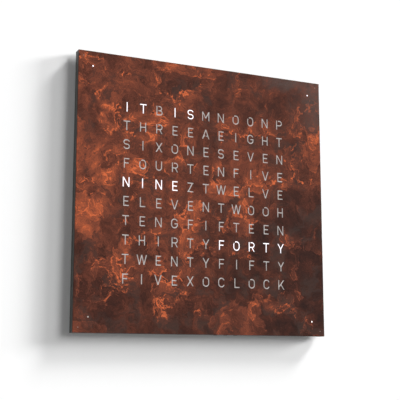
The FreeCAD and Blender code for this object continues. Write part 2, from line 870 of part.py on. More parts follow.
def rear_panel():
    """The sheet that closes the back, with keyholes for the hanging studs."""
    body = new_body("rear_panel", "wall_gap")
    outline = new_sketch(body, "panel_outline")
    side = "face_side - 2 * panel_lip - 2 * clearance"
    add_rectangle(outline, "0", "0", side, side)
    add_pad(body, outline, "rear_thick")

    studs = quarter_places("stud_span_x / 2", "stud_span_z / 2")
    rounds = new_sketch(body, "keyhole_ends")
    for across, up in studs:
        add_circle(rounds, across, up, "stud_radius + clearance")
    cut_pocket(body, rounds, away=True)
    slots = new_sketch(body, "keyhole_slots")
    slot_wide = "2 * (stud_radius + clearance)"
    for across, up in studs:
        add_rectangle(slots, across, "(%s) - hang_travel / 2" % up, slot_wide, "hang_travel")
    cut_pocket(body, slots, away=True)
    entries = new_sketch(body, "keyhole_entries")
    for across, up in studs:
        add_circle(entries, across, "(%s) - hang_travel" % up, "entry_radius")
    cut_pocket(body, entries, away=True)

    openings = new_sketch(body, "panel_holes")
    for across, up in quarter_places("screw_span_x / 2", "screw_span_z / 2"):
        add_circle(openings, across, up, "head_room_radius")
    for across, up in panel_screw_places():
        add_circle(openings, across, up, "panel_screw_radius")
    for side in (-1, 1):
        for number in range(-4, 5):
            across, up = "%d * vent_pitch" % number, "%d * vent_offset" % side
            add_rectangle(openings, across, up, "vent_wide", "vent_high")
    cut_pocket(body, openings, away=True)
    keep(body, "rear_panel")


def rear_panel_screws():
    """Pan-head screws that hold the rear panel in the frame."""
    places = panel_screw_places()
    tip = FLOOR + " + panel_screw_length"
    screw_group("rear_panel_screws", places, "panel_screw_radius", "wall_gap", tip, outward=False)


def wall_bumpers():
    """Rubber discs that steady the clock against the wall, their wall edges bevelled."""
    body = new_body("wall_bumpers")
    sketch = new_sketch(body, "bumper_discs")
    for across, up in quarter_places("bumper_offset", "bumper_offset"):
        add_circle(sketch, across, up, "bumper_radius")
    add_pad(body, sketch, "wall_gap")
    break_edges(body, ring_test(0, value("bumper_radius")), "bumper_edge")
    keep(body, "wall_bumpers")


def cover_magnets():
    """Disc magnets let into the frame's front face."""
    layers = (("magnet_radius", FRAME_FRONT + " - magnet_thick", FRAME_FRONT),)
    disc_group("cover_magnets", magnet_places(), layers)


# ---------------------------------------------------------------- wall side

def wall_plate():
    """The steel plate that is screwed to the wall."""
    body = new_body("wall_plate")
    outline = new_sketch(body, "plate_outline")
    add_rectangle(outline, "0", "0", "plate_wide", "plate_high")
    add_pad(body, outline, "plate_thick")
    holes = new_sketch(body, "plate_holes")
    for across, up in quarter_places("screw_span_x / 2", "screw_span_z / 2"):
        add_circle(holes, across, up, "wall_hole_radius")
    for across, up in quarter_places("stud_span_x / 2", "stud_span_z / 2"):
        add_circle(holes, across, up, "stud_radius")
    cut_pocket(body, holes, away=True)
    doc.recompute()
    tip = body.Tip
    corners = []
    for number, edge in enumerate(tip.Shape.Edges, start=1):
        along_depth = abs(edge.Length - value("plate_thick")) < 0.01
        if along_depth and abs(edge.CenterOfMass.x) > value("plate_wide") / 2 - 0.01:
            corners.append("Edge%d" % number)
    rounding = body.newObject("PartDesign::Fillet", "plate_corners")
    rounding.Base = (tip, corners)
    bind(rounding, "Radius", "plate_corner")
    keep(body, "wall_plate")


def hanging_studs():
    """Headed studs riveted in the wall plate; the clock's keyholes hang on them."""
    under_head = FLOOR + " + clearance"
    layers = (
        ("stud_radius", "0", under_head),
        ("stud_collar_radius", "plate_thick", "plate_thick + stud_collar_thick"),
        ("stud_head_radius", under_head, under_head + " + stud_head_thick"),
    )
    disc_group("hanging_studs", quarter_places("stud_span_x / 2", "stud_span_z / 2"), layers)


# ---------------------------------------------------------------- lamps

def board_screw_places():
    """Eight fixings round the lamp board: corners and the middle of each side."""
    middle = [("%d * board_screw_offset" % side, "0") for side in (-1, 1)]
    middle += [("0", "%d * board_screw_offset" % side) for side in (-1, 1)]
    return quarter_places("board_screw_offset", "board_screw_offset") + middle


def lamp_board():
    """The circuit board that carries a lamp behind each letter."""
    body = new_body("lamp_board", "board_depth")
    outline = new_sketch(body, "lamp_board_outline")
    add_rectangle(outline, "0", "0", "lamp_board_side", "lamp_board_side")
    for across, up in board_screw_places():
        add_circle(outline, across, up, "board_screw_radius")
    add_pad(body, outline, "board_thick")
    keep(body, "lamp_board")


def spread_over_face(body, feature, sketch):
    """Repeat a feature of the first cell in every column and row of the face."""
    columns = body.newObject("PartDesign::LinearPattern", "columns")
    columns.Direction = (sketch, ["H_Axis"])
    columns.Occurrences = len(FACE_ROWS[0])
    bind(columns, "Length", "column_pitch * %d" % (len(FACE_ROWS[0]) - 1))
    rows = body.newObject("PartDesign::LinearPattern", "rows")
    rows.Direction = (sketch, ["V_Axis"])
    rows.Occurrences = len(FACE_ROWS)
    bind(rows, "Length", "row_pitch * %d" % (len(FACE_ROWS) - 1))
    pattern = body.newObject("PartDesign::MultiTransform", "face_pattern")
    pattern.Originals = [feature]
    pattern.Transformations = [columns, rows]
    body.Tip = pattern
    doc.recompute()


def first_cell():
    """Centre of the cell at the lower left of the face."""
    across = "-column_pitch * %d / 2" % (len(FACE_ROWS[0]) - 1)
    up = "-row_pitch * %d / 2" % (len(FACE_ROWS) - 1)
    return across, up


def letter_lamps():
    """One small white lamp behind each letter."""
    body = new_body("letter_lamps", BOARD_FRONT)
    sketch = new_sketch(body, "lamp_outline")
    across, up = first_cell()
    add_rectangle(sketch, across, up, "lamp_wide", "lamp_high")
    spread_over_face(body, add_pad(body, sketch, "lamp_thick"), sketch)
    keep(body, "letter_lamps")


def light_grid():
    """White grid whose wells keep each letter's light to itself, with ears for the board screws."""
    body = new_body("light_grid", BOARD_FRONT)
    wide = "column_pitch * %d + grid_wall" % len(FACE_ROWS[0])
    high = "row_pitch * %d + grid_wall" % len(FACE_ROWS)
    outline = new_sketch(body, "grid_outline")
    add_rectangle(outline, "0", "0", wide, high)
    add_pad(body, outline, "grid_deep")
    ears = new_sketch(body, "grid_ears")
    inward = 0.993
    for across, up in board_screw_places():
        add_rectangle(ears, "%s * %s" % (across, inward), "%s * %s" % (up, inward), "ear_side", "ear_side")
    add_pad(body, ears, "ear_thick")
    well = new_sketch(body, "first_well")
    across, up = first_cell()
    add_rectangle(well, across, up, "column_pitch - grid_wall", "row_pitch - grid_wall")
    pocket = cut_pocket(body, well, "grid_deep", away=True)
    spread_over_face(body, pocket, well)
    holes = new_sketch(body, "ear_holes")
    for across, up in board_screw_places():
        add_circle(holes, across, up, "board_screw_radius")
    cut_pocket(body, holes, "ear_thick", away=True)
    keep(body, "light_grid")


def board_fixings():
    """Spacers under the lamp board and the screws that clamp grid and board to them."""
    places = board_screw_places()
    tube_group("board_spacers", places, "spacer_radius", "board_screw_radius", FLOOR, "board_depth")
    seat = BOARD_FRONT + " + ear_thick"
    screw_group("board_screws", places, "board_screw_radius", seat, FLOOR, outward=True)


def chip_shape(wide, high, thick, legs, leg_reach):
    """A flat chip with a row of bent legs on its left and right, its legs' feet at depth zero."""
    sheet, stand = 0.2, 0.1
    pitch = high / legs
    knee = wide / 2 + leg_reach / 2
    shoulder = -(thick + sheet) / 2
    body = Part.makeBox(wide, thick - stand, high, Vector(-wide / 2, -thick, -high / 2))
    right_legs = []
    for number in range(legs):
        bottom = (number - (legs - 1) / 2) * pitch - pitch / 4
        level = Part.makeBox(leg_reach / 2, sheet, pitch / 2, Vector(wide / 2, shoulder, bottom))
        drop = Part.makeBox(sheet, -shoulder, pitch / 2, Vector(knee - sheet / 2, shoulder, bottom))
        foot = Part.makeBox(leg_reach / 2 + sheet, sheet, pitch / 2, Vector(knee - sheet, -sheet, bottom))
        right_legs += [level, drop, foot]
    left_legs = [leg.mirror(Vector(0, 0, 0), Vector(1, 0, 0)) for leg in right_legs]
    return body.multiFuse(right_legs + left_legs).removeSplitter()


def driver_chips():
    """Lamp driver chips on the back of the lamp board: three along its middle and one near each corner."""
    places = ((-120, 0), (0, 0), (120, 0), (-100, 110), (100, 110), (-100, -118), (100, -118))
    pattern = chip_shape(wide=7.5, high=12.8, thick=1.7, legs=8, leg_reach=1.2)
    pattern.rotate(Vector(0, 0, 0), Vector(0, 0, 1), 180)
    chips = []
    for across, up in places:
        chip = pattern.copy()
        chip.translate(Vector(across, -value("board_depth"), up))
        chips.append(chip)
    keep(own_shape("driver_chips", Part.makeCompound(chips)), "driver_chips")


def minute_lamps():
    """The four corner points: pad, board, lamp and white light tube each."""
    places = quarter_places("dot_offset", "dot_offset")
    boards = [(across, up, "corner_board_wide", "corner_board_high") for across, up in places]
    lamps = [(across, up, "lamp_wide", "lamp_high") for across, up in places]
    block_group("minute_boards", boards, "board_depth", BOARD_FRONT)
    block_group("minute_lamps", lamps, BOARD_FRONT, BOARD_FRONT + " + lamp_thick")
    tube_group("minute_light_tubes", places, "tube_radius", "tube_bore", BOARD_FRONT, GRID_FRONT)


def board_pads():
    """Sticky foam pads under the small boards."""
    places = quarter_places("dot_offset", "dot_offset")
    boards = [(across, up, "corner_board_wide", "corner_board_high") for across, up in places]
    boards.append(RADIO_BOARD)
    boards.append(SENSOR_BOARD)
    pads = [(across, up, wide + " - 5", high + " - 4") for across, up, wide, high in boards]
    block_group("board_pads", pads, FLOOR, "board_depth")


# ---------------------------------------------------------------- leads

def lead_solid(points, depth, radius, corner):
    """A round lead along straight runs in one plane, with a tangent arc of one radius at each corner."""
    spots = [Vector(across, -depth, up) for across, up in points]
    edges = []
    start = spots[0]
    for before, here, after in zip(spots, spots[1:], spots[2:]):
        back, ahead = (before - here).normalize(), (after - here).normalize()
        turn = math.pi - back.getAngle(ahead)
        trim = corner * math.tan(turn / 2)
        enter, leave = here + back * trim, here + ahead * trim
        bisector = (back + ahead).normalize()
        centre = here + bisector * (corner / math.cos(turn / 2))
        middle = centre - bisector * corner
        edges.append(Part.LineSegment(start, enter).toShape())
        edges.append(Part.Arc(enter, middle, leave).toShape())
        start = leave
    edges.append(Part.LineSegment(start, spots[-1]).toShape())
    wire = Part.Wire(edges)
    direction = (spots[1] - spots[0]).normalize()
    ring = Part.Wire([Part.Circle(spots[0], direction, radius).toShape()])
    solid = wire.makePipeShell([ring], True, True)
    expected = wire.Length * math.pi * radius ** 2
    if abs(solid.Volume - expected) > 0.01 * expected:
        raise RuntimeError("lead volume %.2f, expected %.2f" % (solid.Volume, expected))
    return solid


def minute_leads():
    """Short leads from the lamp board to the corner boards."""
    radius, corner, overlap = value("lead_radius"), 8.0, 2.0
    depth = value(BOARD_FRONT) + radius
    board_edge = value("dot_offset") - value("corner_board_wide") / 2 + overlap
    route = [(161, 140), (178, 150), (183, 186), (board_edge, 197)]
    solids = []
    for sx, sz in QUARTERS:
        solids.append(lead_solid([(sx * x, sz * z) for x, z in route], depth, radius, corner))
    keep(own_shape("minute_leads", Part.makeCompound(solids)), "minute_leads")


def long_leads():
    """Leads of the radio receiver and the light sensor down the right side to the control board."""
    lift, corner = 2.5, 10.0
    routes = {
        "antenna_lead": [
            (3, 190), (50, 190), (110, 193), (165, 186), (178, 168),
            (180, -140), (167, -176), (112, -187.5), (72.5, -187.5)],
        "sensor_lead": [
            (127, 199.5), (140, 199.5), (163, 196), (180, 184), (187, 150),
            (185.5, -150), (172, -184), (114, -194.5), (72.5, -194.5)],
    }
    for label, route in routes.items():
        lead = lead_solid(route, value(BOARD_FRONT) + lift, value("lead_radius"), corner)
        keep(own_shape(label, lead), label)


# ---------------------------------------------------------------- control electronics

def control_board():
    """The board along the bottom edge that runs the clock."""
    middle = "(control_top + control_bottom) / 2"
    body = new_body("control_board", "board_depth")
    outline = new_sketch(body, "control_outline")
    add_rectangle(outline, "0", middle, "control_wide", "control_top - control_bottom")
    for across, up in control_screw_places():
        add_circle(outline, across, up, "board_screw_radius")
    add_pad(body, outline, "board_thick")
    notch = new_sketch(body, "socket_notch")
    add_rectangle(notch, "socket_x", "control_bottom", "socket_body + 1", "2 * socket_body_high - 2")
    cut_pocket(body, notch, away=True)
    keep(body, "control_board")


def control_screw_places():
    """Four fixings of the control board."""
    heights = ("control_top - control_spacer_inset", "control_bottom + control_spacer_inset")
    return [("%d * control_spacer_x" % side, up) for side in (-1, 1) for up in heights]


def control_fixings():
    """Spacers and screws of the control board."""
    places = control_screw_places()
    tube_group("control_spacers", places, "spacer_radius", "board_screw_radius", FLOOR, "board_depth")
    screw_group("control_screws", places, "board_screw_radius", BOARD_FRONT, FLOOR, outward=True)


def power_socket():
    """Low-voltage barrel socket whose nose comes out of the bottom edge."""
    mouth = "-(face_side / 2 - socket_set_back)"
    shoulder = "-(%s - clearance)" % INSIDE
    bore_end = "(%s) + socket_bore_deep" % mouth
    half_body = "socket_body / 2"
    body = block("socket_block", "socket_x", "(%s) + socket_body_high / 2" % shoulder, "socket_body",
                 "socket_body_high", "socket_depth - " + half_body, "socket_depth + " + half_body)
    nose = upright("socket_nose", "socket_x", "socket_depth", mouth, shoulder, "socket_nose_radius")
    bore = upright("socket_bore", "socket_x", "socket_depth", mouth, bore_end, "socket_bore_radius")
    keep(minus("power_socket", fused("socket_shell", body, nose), bore), "power_socket")
    pin_tip = "(%s) + 1" % mouth
    pin = upright("socket_pin", "socket_x", "socket_depth", pin_tip, bore_end, "socket_pin_radius")
    keep(pin, "socket_pin")


def coin_cell_parts():
    """Backup cell, its holder and the spring contact over it."""
    seat = BOARD_FRONT + " + cell_seat"
    top = seat + " + cell_thick"
    rim = top + " - 0.4"
    tray = block("cell_tray", "cell_x", "cell_z", "holder_side", "holder_side", BOARD_FRONT, rim)
    well = facing("cell_well", "cell_x", "cell_z", seat, rim, "cell_radius + clearance / 2")
    keep(minus("coin_cell_holder", tray, well), "coin_cell_holder")
    keep(facing("coin_cell", "cell_x", "cell_z", seat, top, "cell_radius"), "coin_cell")
    crown = top + " + contact_thick"
    parts = [block("contact_strap", "cell_x", "cell_z", "contact_wide", "holder_side", top, crown)]
    for side in (-1, 1):
        foot_z = "cell_z + %d * (holder_side / 2 - 0.5)" % side
        parts.append(block("contact_foot_%d" % side, "cell_x", foot_z, "contact_wide", "1", rim, crown))
    keep(fused("cell_contact", *parts), "cell_contact")


def control_parts():
    """Chip, crystal, regulator, choke and capacitors on the control board."""
    chip = own_shape("control_chip", chip_shape(wide=10, high=10, thick=1.5, legs=12, leg_reach=1.4))
    chip.Placement.Base = Vector(value("ribbon_x"), -value(BOARD_FRONT), value("chip_z"))
    keep(chip, "control_chip")

    crystal_depth = BOARD_FRONT + " + crystal_radius"
    crystal = upright("clock_crystal", "crystal_x", crystal_depth, "crystal_bottom", "crystal_top",
                      "crystal_radius")
    keep(crystal, "clock_crystal")

    tab_front = BOARD_FRONT + " + regulator_tab_thick"
    case_z = "regulator_z - (regulator_tab_high - regulator_case_high) / 2"
    tab = block("regulator_tab", "regulator_x", "regulator_z", "regulator_tab_wide", "regulator_tab_high",
                BOARD_FRONT, tab_front)
    case = block("regulator_case", "regulator_x", case_z, "regulator_case_wide", "regulator_case_high",
                 tab_front, tab_front + " + regulator_case_thick")
    keep(fused("voltage_regulator", tab, case), "voltage_regulator")

    choke = ("choke_x", "choke_z", "choke_side", "choke_side")
    block_group("power_choke", [choke], BOARD_FRONT, BOARD_FRONT + " + choke_high")

    cans = (("-46", "-184"), ("-34", "-184"), ("-30", "-198"))
    base_front = BOARD_FRONT + " + can_base_high"
    layers = (
        ("can_base_radius", BOARD_FRONT, base_front),
        ("can_radius", base_front, BOARD_FRONT + " + can_high"),
    )
    disc_group("smoothing_capacitors", cans, layers)


def connectors_and_ribbon():
    """The flat cable from the control board to the lamp board, with its two connectors, and lead sockets."""
    low, high = "control_top - 3.5", "-(board_screw_offset + 1)"
    housings = [("ribbon_x", up, "ribbon_wide + 3", "connector_deep") for up in (low, high)]
    block_group("ribbon_connectors", housings, BOARD_FRONT, BOARD_FRONT + " + connector_high")
    span = "(%s) - (%s) - connector_deep" % (high, low)
    middle = "((%s) + (%s)) / 2" % (high, low)
    level = BOARD_FRONT + " + ribbon_lift"
    block_group("ribbon_cable", [("ribbon_x", middle, "ribbon_wide", span)], level, level + " + ribbon_thick")
    lead_ends = (("70", "-187.5"), ("70", "-194.5"), ("0.5", "190"), ("124.5", "199.5"))
    sockets = [(across, up, "plug_side", "plug_side") for across, up in lead_ends]
    block_group("lead_connectors", sockets, BOARD_FRONT, BOARD_FRONT + " + plug_high")


# ---------------------------------------------------------------- push buttons

def switch_cases():
    """Three side-acting switches on the control board, each with a round mouth."""
    cases = []
    face = "(control_bottom + 0.1)"
    middle = face + " + switch_deep / 2"
    mouth_top = face + " + switch_mouth_deep"
    front = BOARD_FRONT + " + switch_side"
    for number in range(3):
        across = button_across(number)
        case = block("switch_block_%d" % number, across, middle, "switch_side", "switch_deep",
                     BOARD_FRONT, front)
        mouth = upright("switch_mouth_%d" % number, across, BUTTON_DEPTH, face, mouth_top,
                        "plunger_radius + clearance")
        cases.append(minus("switch_case_%d" % number, case, mouth))
    group = doc.addObject("Part::Compound", "switch_cases")
    group.Links = cases
    keep(group, "switch_cases")


def push_button(number, name):
    """A cap with its flange and stem, the switch plunger that it pushes and the dome that springs it back."""
    across = button_across(number)
    outer = "-(face_side / 2 + cap_proud)"
    seat = "-(%s - clearance)" % BUTTON_SEAT
    flange_top = seat + " + button_flange_thick"
    tip = "control_bottom - button_tip_gap"
    rim = "control_bottom + dome_seat"
    cap = upright(name + "_cap", across, BUTTON_DEPTH, outer, seat + " + 0.1", "cap_radius")
    flange = upright(name + "_flange", across, BUTTON_DEPTH, seat, flange_top, "button_flange_radius")
    stem = upright(name + "_stem", across, BUTTON_DEPTH, seat, tip, "button_stem_radius")
    keep(fused(name + "_button", cap, flange, stem), name + "_button")
    plunger = upright(name + "_plunger", across, BUTTON_DEPTH, tip, rim + " - dome_height", "plunger_radius")
    keep(plunger, name + "_plunger")
    dome = own_shape(name + "_dome", dome_shape())
    place(dome, across, BUTTON_DEPTH, rim)
    keep(dome, name + "_dome")


def dome_shape():
    """A thin sheet dome with its rim at height zero and its top below it, turned about a vertical axis."""
    rim, rise, sheet = value("dome_radius"), value("dome_height"), value("dome_sheet")
    outer_bend = (rim ** 2 + rise ** 2) / (2 * rise)
    centre = outer_bend - rise
    inner_bend = outer_bend - sheet
    inner_rim = math.sqrt(inner_bend ** 2 - centre ** 2)

    def on_bend(radius, across):
        return Vector(across, 0, centre - math.sqrt(radius ** 2 - across ** 2))

    outer = Part.Arc(*[on_bend(outer_bend, across) for across in (0, rim / 2, rim)])
    inner = Part.Arc(*[on_bend(inner_bend, across) for across in (inner_rim, inner_rim / 2, 0)])
    flat = Part.LineSegment(outer.EndPoint, inner.StartPoint)
    axis = Part.LineSegment(inner.EndPoint, outer.StartPoint)
    wire = Part.Wire([outer.toShape(), flat.toShape(), inner.toShape(), axis.toShape()])
    return Part.Face(wire).revolve(Vector(0, 0, 0), Vector(0, 0, 1), 360)


# ---------------------------------------------------------------- radio receiver and light sensor

def radio_receiver():
    """Ferrite rod, coil and small board that receive the time signal."""
    depth = FLOOR + " + rod_lift"
    keep(sideways("radio_rod", "rod_x", depth, "rod_z", "rod_length", "rod_radius"), "radio_rod")
    winding = sideways("coil_winding", "rod_x", depth, "rod_z", "coil_length", "coil_radius")
    core = sideways("coil_core", "rod_x", depth, "rod_z", "coil_length", "rod_radius")
    keep(minus("radio_coil", winding, core), "radio_coil")
    post_front = depth + " + rod_radius + 0.9"
    holders = []
    for side in (-1, 1):
        middle = "rod_x + %d * (rod_length / 2 - post_inset)" % side
        post = block("rod_post_%d" % side, middle, "rod_z", "post_thick", "post_high", FLOOR, post_front)
        hole = sideways("rod_hole_%d" % side, middle, depth, "rod_z", "post_thick + 1", "rod_radius")
        holders.append(minus("rod_holder_%d" % side, post, hole))
    group = doc.addObject("Part::Compound", "rod_holders")
    group.Links = holders
    keep(group, "rod_holders")
    block_group("radio_board", [RADIO_BOARD], "board_depth", BOARD_FRONT)
    chip = own_shape("radio_chip", chip_shape(wide=4.4, high=5, thick=1.2, legs=8, leg_reach=1.0))
    chip.Placement.Base = Vector(value("radio_board_x - 2"), -value(BOARD_FRONT), value("radio_board_z"))
    keep(chip, "radio_chip")


def light_sensor():
    """Sensor that reads the room's light through a clear pipe in the top edge."""
    depth = "wall_gap + (%s) / 2" % FRAME_DEEP
    sensor = ("sensor_x", "sensor_z", "sensor_wide", "sensor_high")
    block_group("sensor_board", [SENSOR_BOARD], "board_depth", BOARD_FRONT)
    block_group("light_sensor", [sensor], BOARD_FRONT, BOARD_FRONT + " + sensor_thick")
    window = upright("sensor_window", "sensor_x", depth, "pipe_bottom", "face_side / 2", "pipe_radius")
    keep(window, "sensor_window")


# ---------------------------------------------------------------- build, check, write

def build():
    """Make every sub-part."""
    wall_plate()
    hanging_studs()
    body_frame()
    rear_panel()
    rear_panel_screws()
    wall_bumpers()
    cover_magnets()
    lamp_board()
    letter_lamps()
    light_grid()
    board_fixings()
    driver_chips()
    minute_lamps()
    minute_leads()
    board_pads()
    control_board()
    control_fixings()
    power_socket()
    coin_cell_parts()
    control_parts()
    connectors_and_ribbon()
    radio_receiver()
    light_sensor()
    long_leads()
    switch_cases()
    for number, name in enumerate(("hour", "minute", "mode")):
        push_button(number, name)
    letters = letter_cutters()
    front_cover(letters)
    cover_diffuser(letters)
    locating_studs()
    doc.recompute()


def check():
    """Stop on any failed object or bad shape."""
    for thing in doc.Objects:
        if {"Invalid", "Error"} & set(thing.State):
            raise RuntimeError("%s failed: %s" % (thing.Name, thing.State))
    for piece in pieces:
        if piece.Shape.isNull() or not piece.Shape.isValid() or not piece.Shape.Solids:
            raise RuntimeError("bad shape: " + piece.Label)


def write():
    """Write one STEP file for each sub-part."""
    os.makedirs("parts", exist_ok=True)
    for piece in pieces:
        piece.Shape.exportStep("parts/%s.step" % piece.Label)
        box = piece.Shape.BoundBox
        print("%-24s solids %3d  volume %10.1f" % (piece.Label, len(piece.Shape.Solids), piece.Shape.Volume),
              " x %7.1f %7.1f  y %6.2f %6.2f  z %7.1f %7.1f" % (
                  box.XMin, box.XMax, box.YMin, box.YMax, box.ZMin, box.ZMax))


build()
check()
write()
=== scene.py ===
"""Word clock: finishes, glow, wall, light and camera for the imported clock.

Every material reads Object coordinates, which are the row frame in metres: x to the right, z up and
y into the wall. "Face" below means the square front of the clock, seen along +Y. Lengths are in metres
and colours are linear.
"""
import json
import math

import bpy
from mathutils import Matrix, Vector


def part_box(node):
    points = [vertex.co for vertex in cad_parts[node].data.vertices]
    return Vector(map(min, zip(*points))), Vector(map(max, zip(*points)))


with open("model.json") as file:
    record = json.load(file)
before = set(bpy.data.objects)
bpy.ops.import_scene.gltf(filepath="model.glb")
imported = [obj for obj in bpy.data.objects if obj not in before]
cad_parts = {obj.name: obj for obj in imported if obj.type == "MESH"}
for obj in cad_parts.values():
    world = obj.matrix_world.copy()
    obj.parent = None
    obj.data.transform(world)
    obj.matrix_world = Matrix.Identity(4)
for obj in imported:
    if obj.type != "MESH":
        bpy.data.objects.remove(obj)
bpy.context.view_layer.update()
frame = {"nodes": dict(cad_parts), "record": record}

# ---------------------------------------------------------------- sizes read from the clock

COVER_LOW, COVER_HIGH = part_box("front_cover")
HALF_FACE = (COVER_HIGH.x - COVER_LOW.x) / 2
FRONT_Y = COVER_LOW.y
COVER_BACK_Y = COVER_HIGH.y
BOARD_FRONT_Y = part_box("lamp_board")[0].y
RIBBON_EDGE_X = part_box("ribbon_cable")[0].x
COLUMNS, ROWS = 11, 10
LAMP_WIDE, LAMP_HIGH = 0.0035, 0.0028
LAMPS_LOW, LAMPS_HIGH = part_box("letter_lamps")
COLUMN_PITCH = (LAMPS_HIGH.x - LAMPS_LOW.x - LAMP_WIDE) / (COLUMNS - 1)
ROW_PITCH = (LAMPS_HIGH.z - LAMPS_LOW.z - LAMP_HIGH) / (ROWS - 1)
CORNER_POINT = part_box("minute_lamps")[1].x - LAMP_WIDE / 2

FACE_PLANE = (1.0, 0.0, 1.0)            # multiplied with a point, it drops the depth
BLACK = (0.0, 0.0, 0.0)
WHITE = (1.0, 1.0, 1.0)

# ---------------------------------------------------------------- what is lit, and how strongly

# Lit words: (row, first column, last column), counted from the top left.
LIT_WORDS = ((1, 1, 2), (1, 4, 5), (5, 1, 4), (8, 7, 11))
WELL_SHARE = 0.985                      # how much of its cell a lit letter's light fills
SPOT_CORE, SPOT_EDGE = 0.0022, 0.0066   # round light behind a corner point, fading from core to edge
POOL_CORE, POOL_EDGE = 0.003, 0.022     # a letter's light, strongest over its lamp
POOL_BRIGHT, POOL_DIM = 0.625, 0.45     # its strength at core and edge, where a corner point has 1
SHEET_GLOW = 1.6
LAMP_GLOW = 1.6
WELL_GLOW = 0.18
LIT_LETTER = (0.97, 0.94, 1.0)
UNLIT_LETTER_GLOW = (0.114, 0.103, 0.099)    # painted glow on unlit letters, filling the shade that the cover's cut walls cast on them
LAMP_LIGHT = (1.0, 0.97, 0.92)
WELL_LIGHT = (0.9, 0.93, 1.0)


# ---------------------------------------------------------------- node helpers

def feed(tree, node, inputs):
    """Give a node's inputs, by name or number, their sockets or values; a colour's alpha is 1."""
    for name, source in inputs.items():
        target = node.inputs[name]
        if isinstance(source, bpy.types.NodeSocket):
            tree.links.new(source, target)
        elif target.type == "RGBA":
            target.default_value = (*source, 1.0)
        else:
            target.default_value = source


def add(tree, kind, inputs=None, **settings):
    """Add a shader node with its settings and inputs."""
    node = tree.nodes.new("ShaderNode" + kind)
    for name, setting in settings.items():
        setattr(node, name, setting)
    feed(tree, node, inputs or {})
    return node


def math_node(tree, operation, first, second=0.0):
    """One Math node's output."""
    return add(tree, "Math", {0: first, 1: second}, operation=operation).outputs[0]


def vector_node(tree, operation, first, second=(0.0, 0.0, 0.0)):
    """One Vector Math node's vector output."""
    return add(tree, "VectorMath", {0: first, 1: second}, operation=operation).outputs["Vector"]


def vector_length(tree, vector):
    """The length of a vector."""
    return add(tree, "VectorMath", {0: vector}, operation="LENGTH").outputs["Value"]


def split(tree, vector):
    """A vector's X, Y and Z outputs."""
    return add(tree, "SeparateXYZ", {0: vector}).outputs


def weighted_sum(tree, start, *terms):
    """A start plus several (source, weight) terms."""
    total = start
    for source, weight in terms:
        total = add(tree, "Math", {0: source, 1: weight, 2: total}, operation="MULTIPLY_ADD").outputs[0]
    return total


def strongest(tree, masks):
    """The highest of several masks at each point."""
    total = masks[0]
    for mask in masks[1:]:
        total = math_node(tree, "MAXIMUM", total, mask)
    return total


def smooth_step(tree, source, low, high, start=0.0, end=1.0):
    """Map a value smoothly from one range to another."""
    inputs = {"Value": source, "From Min": low, "From Max": high, "To Min": start, "To Max": end}
    return add(tree, "MapRange", inputs, interpolation_type="SMOOTHSTEP").outputs["Result"]


def contour(tree, level, place, width):
    """A thin line where a level passes a place."""
    away = math_node(tree, "ABSOLUTE", math_node(tree, "SUBTRACT", level, place))
    return smooth_step(tree, away, width, 0.0)


def blend_colour(tree, share, first, second):
    """Mix two colours by a share of the second."""
    return add(tree, "Mix", {0: share, 6: first, 7: second}, data_type="RGBA").outputs[2]


def ramp(tree, source, stops):
    """A colour ramp of (place, colour) stops."""
    node = add(tree, "ValToRGB", {0: source})
    while len(node.color_ramp.elements) < len(stops):
        node.color_ramp.elements.new(0.5)
    for element, (place, colour) in zip(node.color_ramp.elements, stops):
        element.position = place
        element.color = (*colour, 1.0)
    return node.outputs["Color"]


def object_point(tree):
    """The point on the surface, in metres."""
    return add(tree, "TexCoord").outputs["Object"]


def noise(tree, point, scale, detail=4.0, roughness=0.55, distortion=0.0):
    """A noise texture's level."""
    inputs = {"Vector": point, "Scale": scale, "Detail": detail}
    inputs.update({"Roughness": roughness, "Distortion": distortion})
    return add(tree, "TexNoise", inputs).outputs["Fac"]


def warp(tree, point, scale, amount):
    """A point pushed sideways over the face by coloured noise."""
    swirl = add(tree, "TexNoise", {"Vector": point, "Scale": scale, "Detail": 4.0, "Roughness": 0.6})
    push = vector_node(tree, "SUBTRACT", swirl.outputs["Color"], (0.5, 0.5, 0.5))
    return vector_node(tree, "ADD", point, vector_node(tree, "MULTIPLY", push, (amount, 0.0, amount)))


def stripes(tree, point, inputs):
    """Bands that follow each other along X."""
    inputs = {"Vector": point, **inputs}
    return add(tree, "TexWave", inputs, wave_type="BANDS", bands_direction="X").outputs["Fac"]


def bump(tree, height, strength, distance):
    """The normal that a height gives."""
    inputs = {"Height": height, "Strength": strength, "Distance": distance}
    return add(tree, "Bump", inputs).outputs["Normal"]


def new_group(name, inputs, outputs):
    """An empty node group; inputs and outputs are socket kinds by name."""
    tree = bpy.data.node_groups.new(name, "ShaderNodeTree")
    for side, sockets in (("INPUT", inputs), ("OUTPUT", outputs)):
        for label, kind in sockets.items():
            tree.interface.new_socket(label, in_out=side, socket_type="NodeSocket" + kind)
    given = tree.nodes.new("NodeGroupInput").outputs
    wanted = tree.nodes.new("NodeGroupOutput")
    return tree, given, wanted


def place_group(tree, group, inputs):
    """Put a group in a material and return its outputs."""
    node = tree.nodes.new("ShaderNodeGroup")
    node.node_tree = group
    feed(tree, node, inputs)
    return node.outputs


# ---------------------------------------------------------------- effects shared by several finishes

def make_soft_zone():
    """A soft round zone of the face with a frayed edge: 1 at its middle, 0 outside."""
    inputs = {"Point": "Vector", "Centre": "Vector", "Reach": "Vector", "Fray": "Float"}
    tree, given, wanted = new_group("soft zone", inputs, {"Mask": "Float"})
    outside, inside = 1.35, 0.35
    offset = vector_node(tree, "SUBTRACT", given["Point"], given["Centre"])
    distance = vector_length(tree, vector_node(tree, "DIVIDE", offset, given["Reach"]))
    torn = math_node(tree, "ADD", distance, given["Fray"])
    feed(tree, wanted, {"Mask": smooth_step(tree, torn, outside, inside)})
    return tree


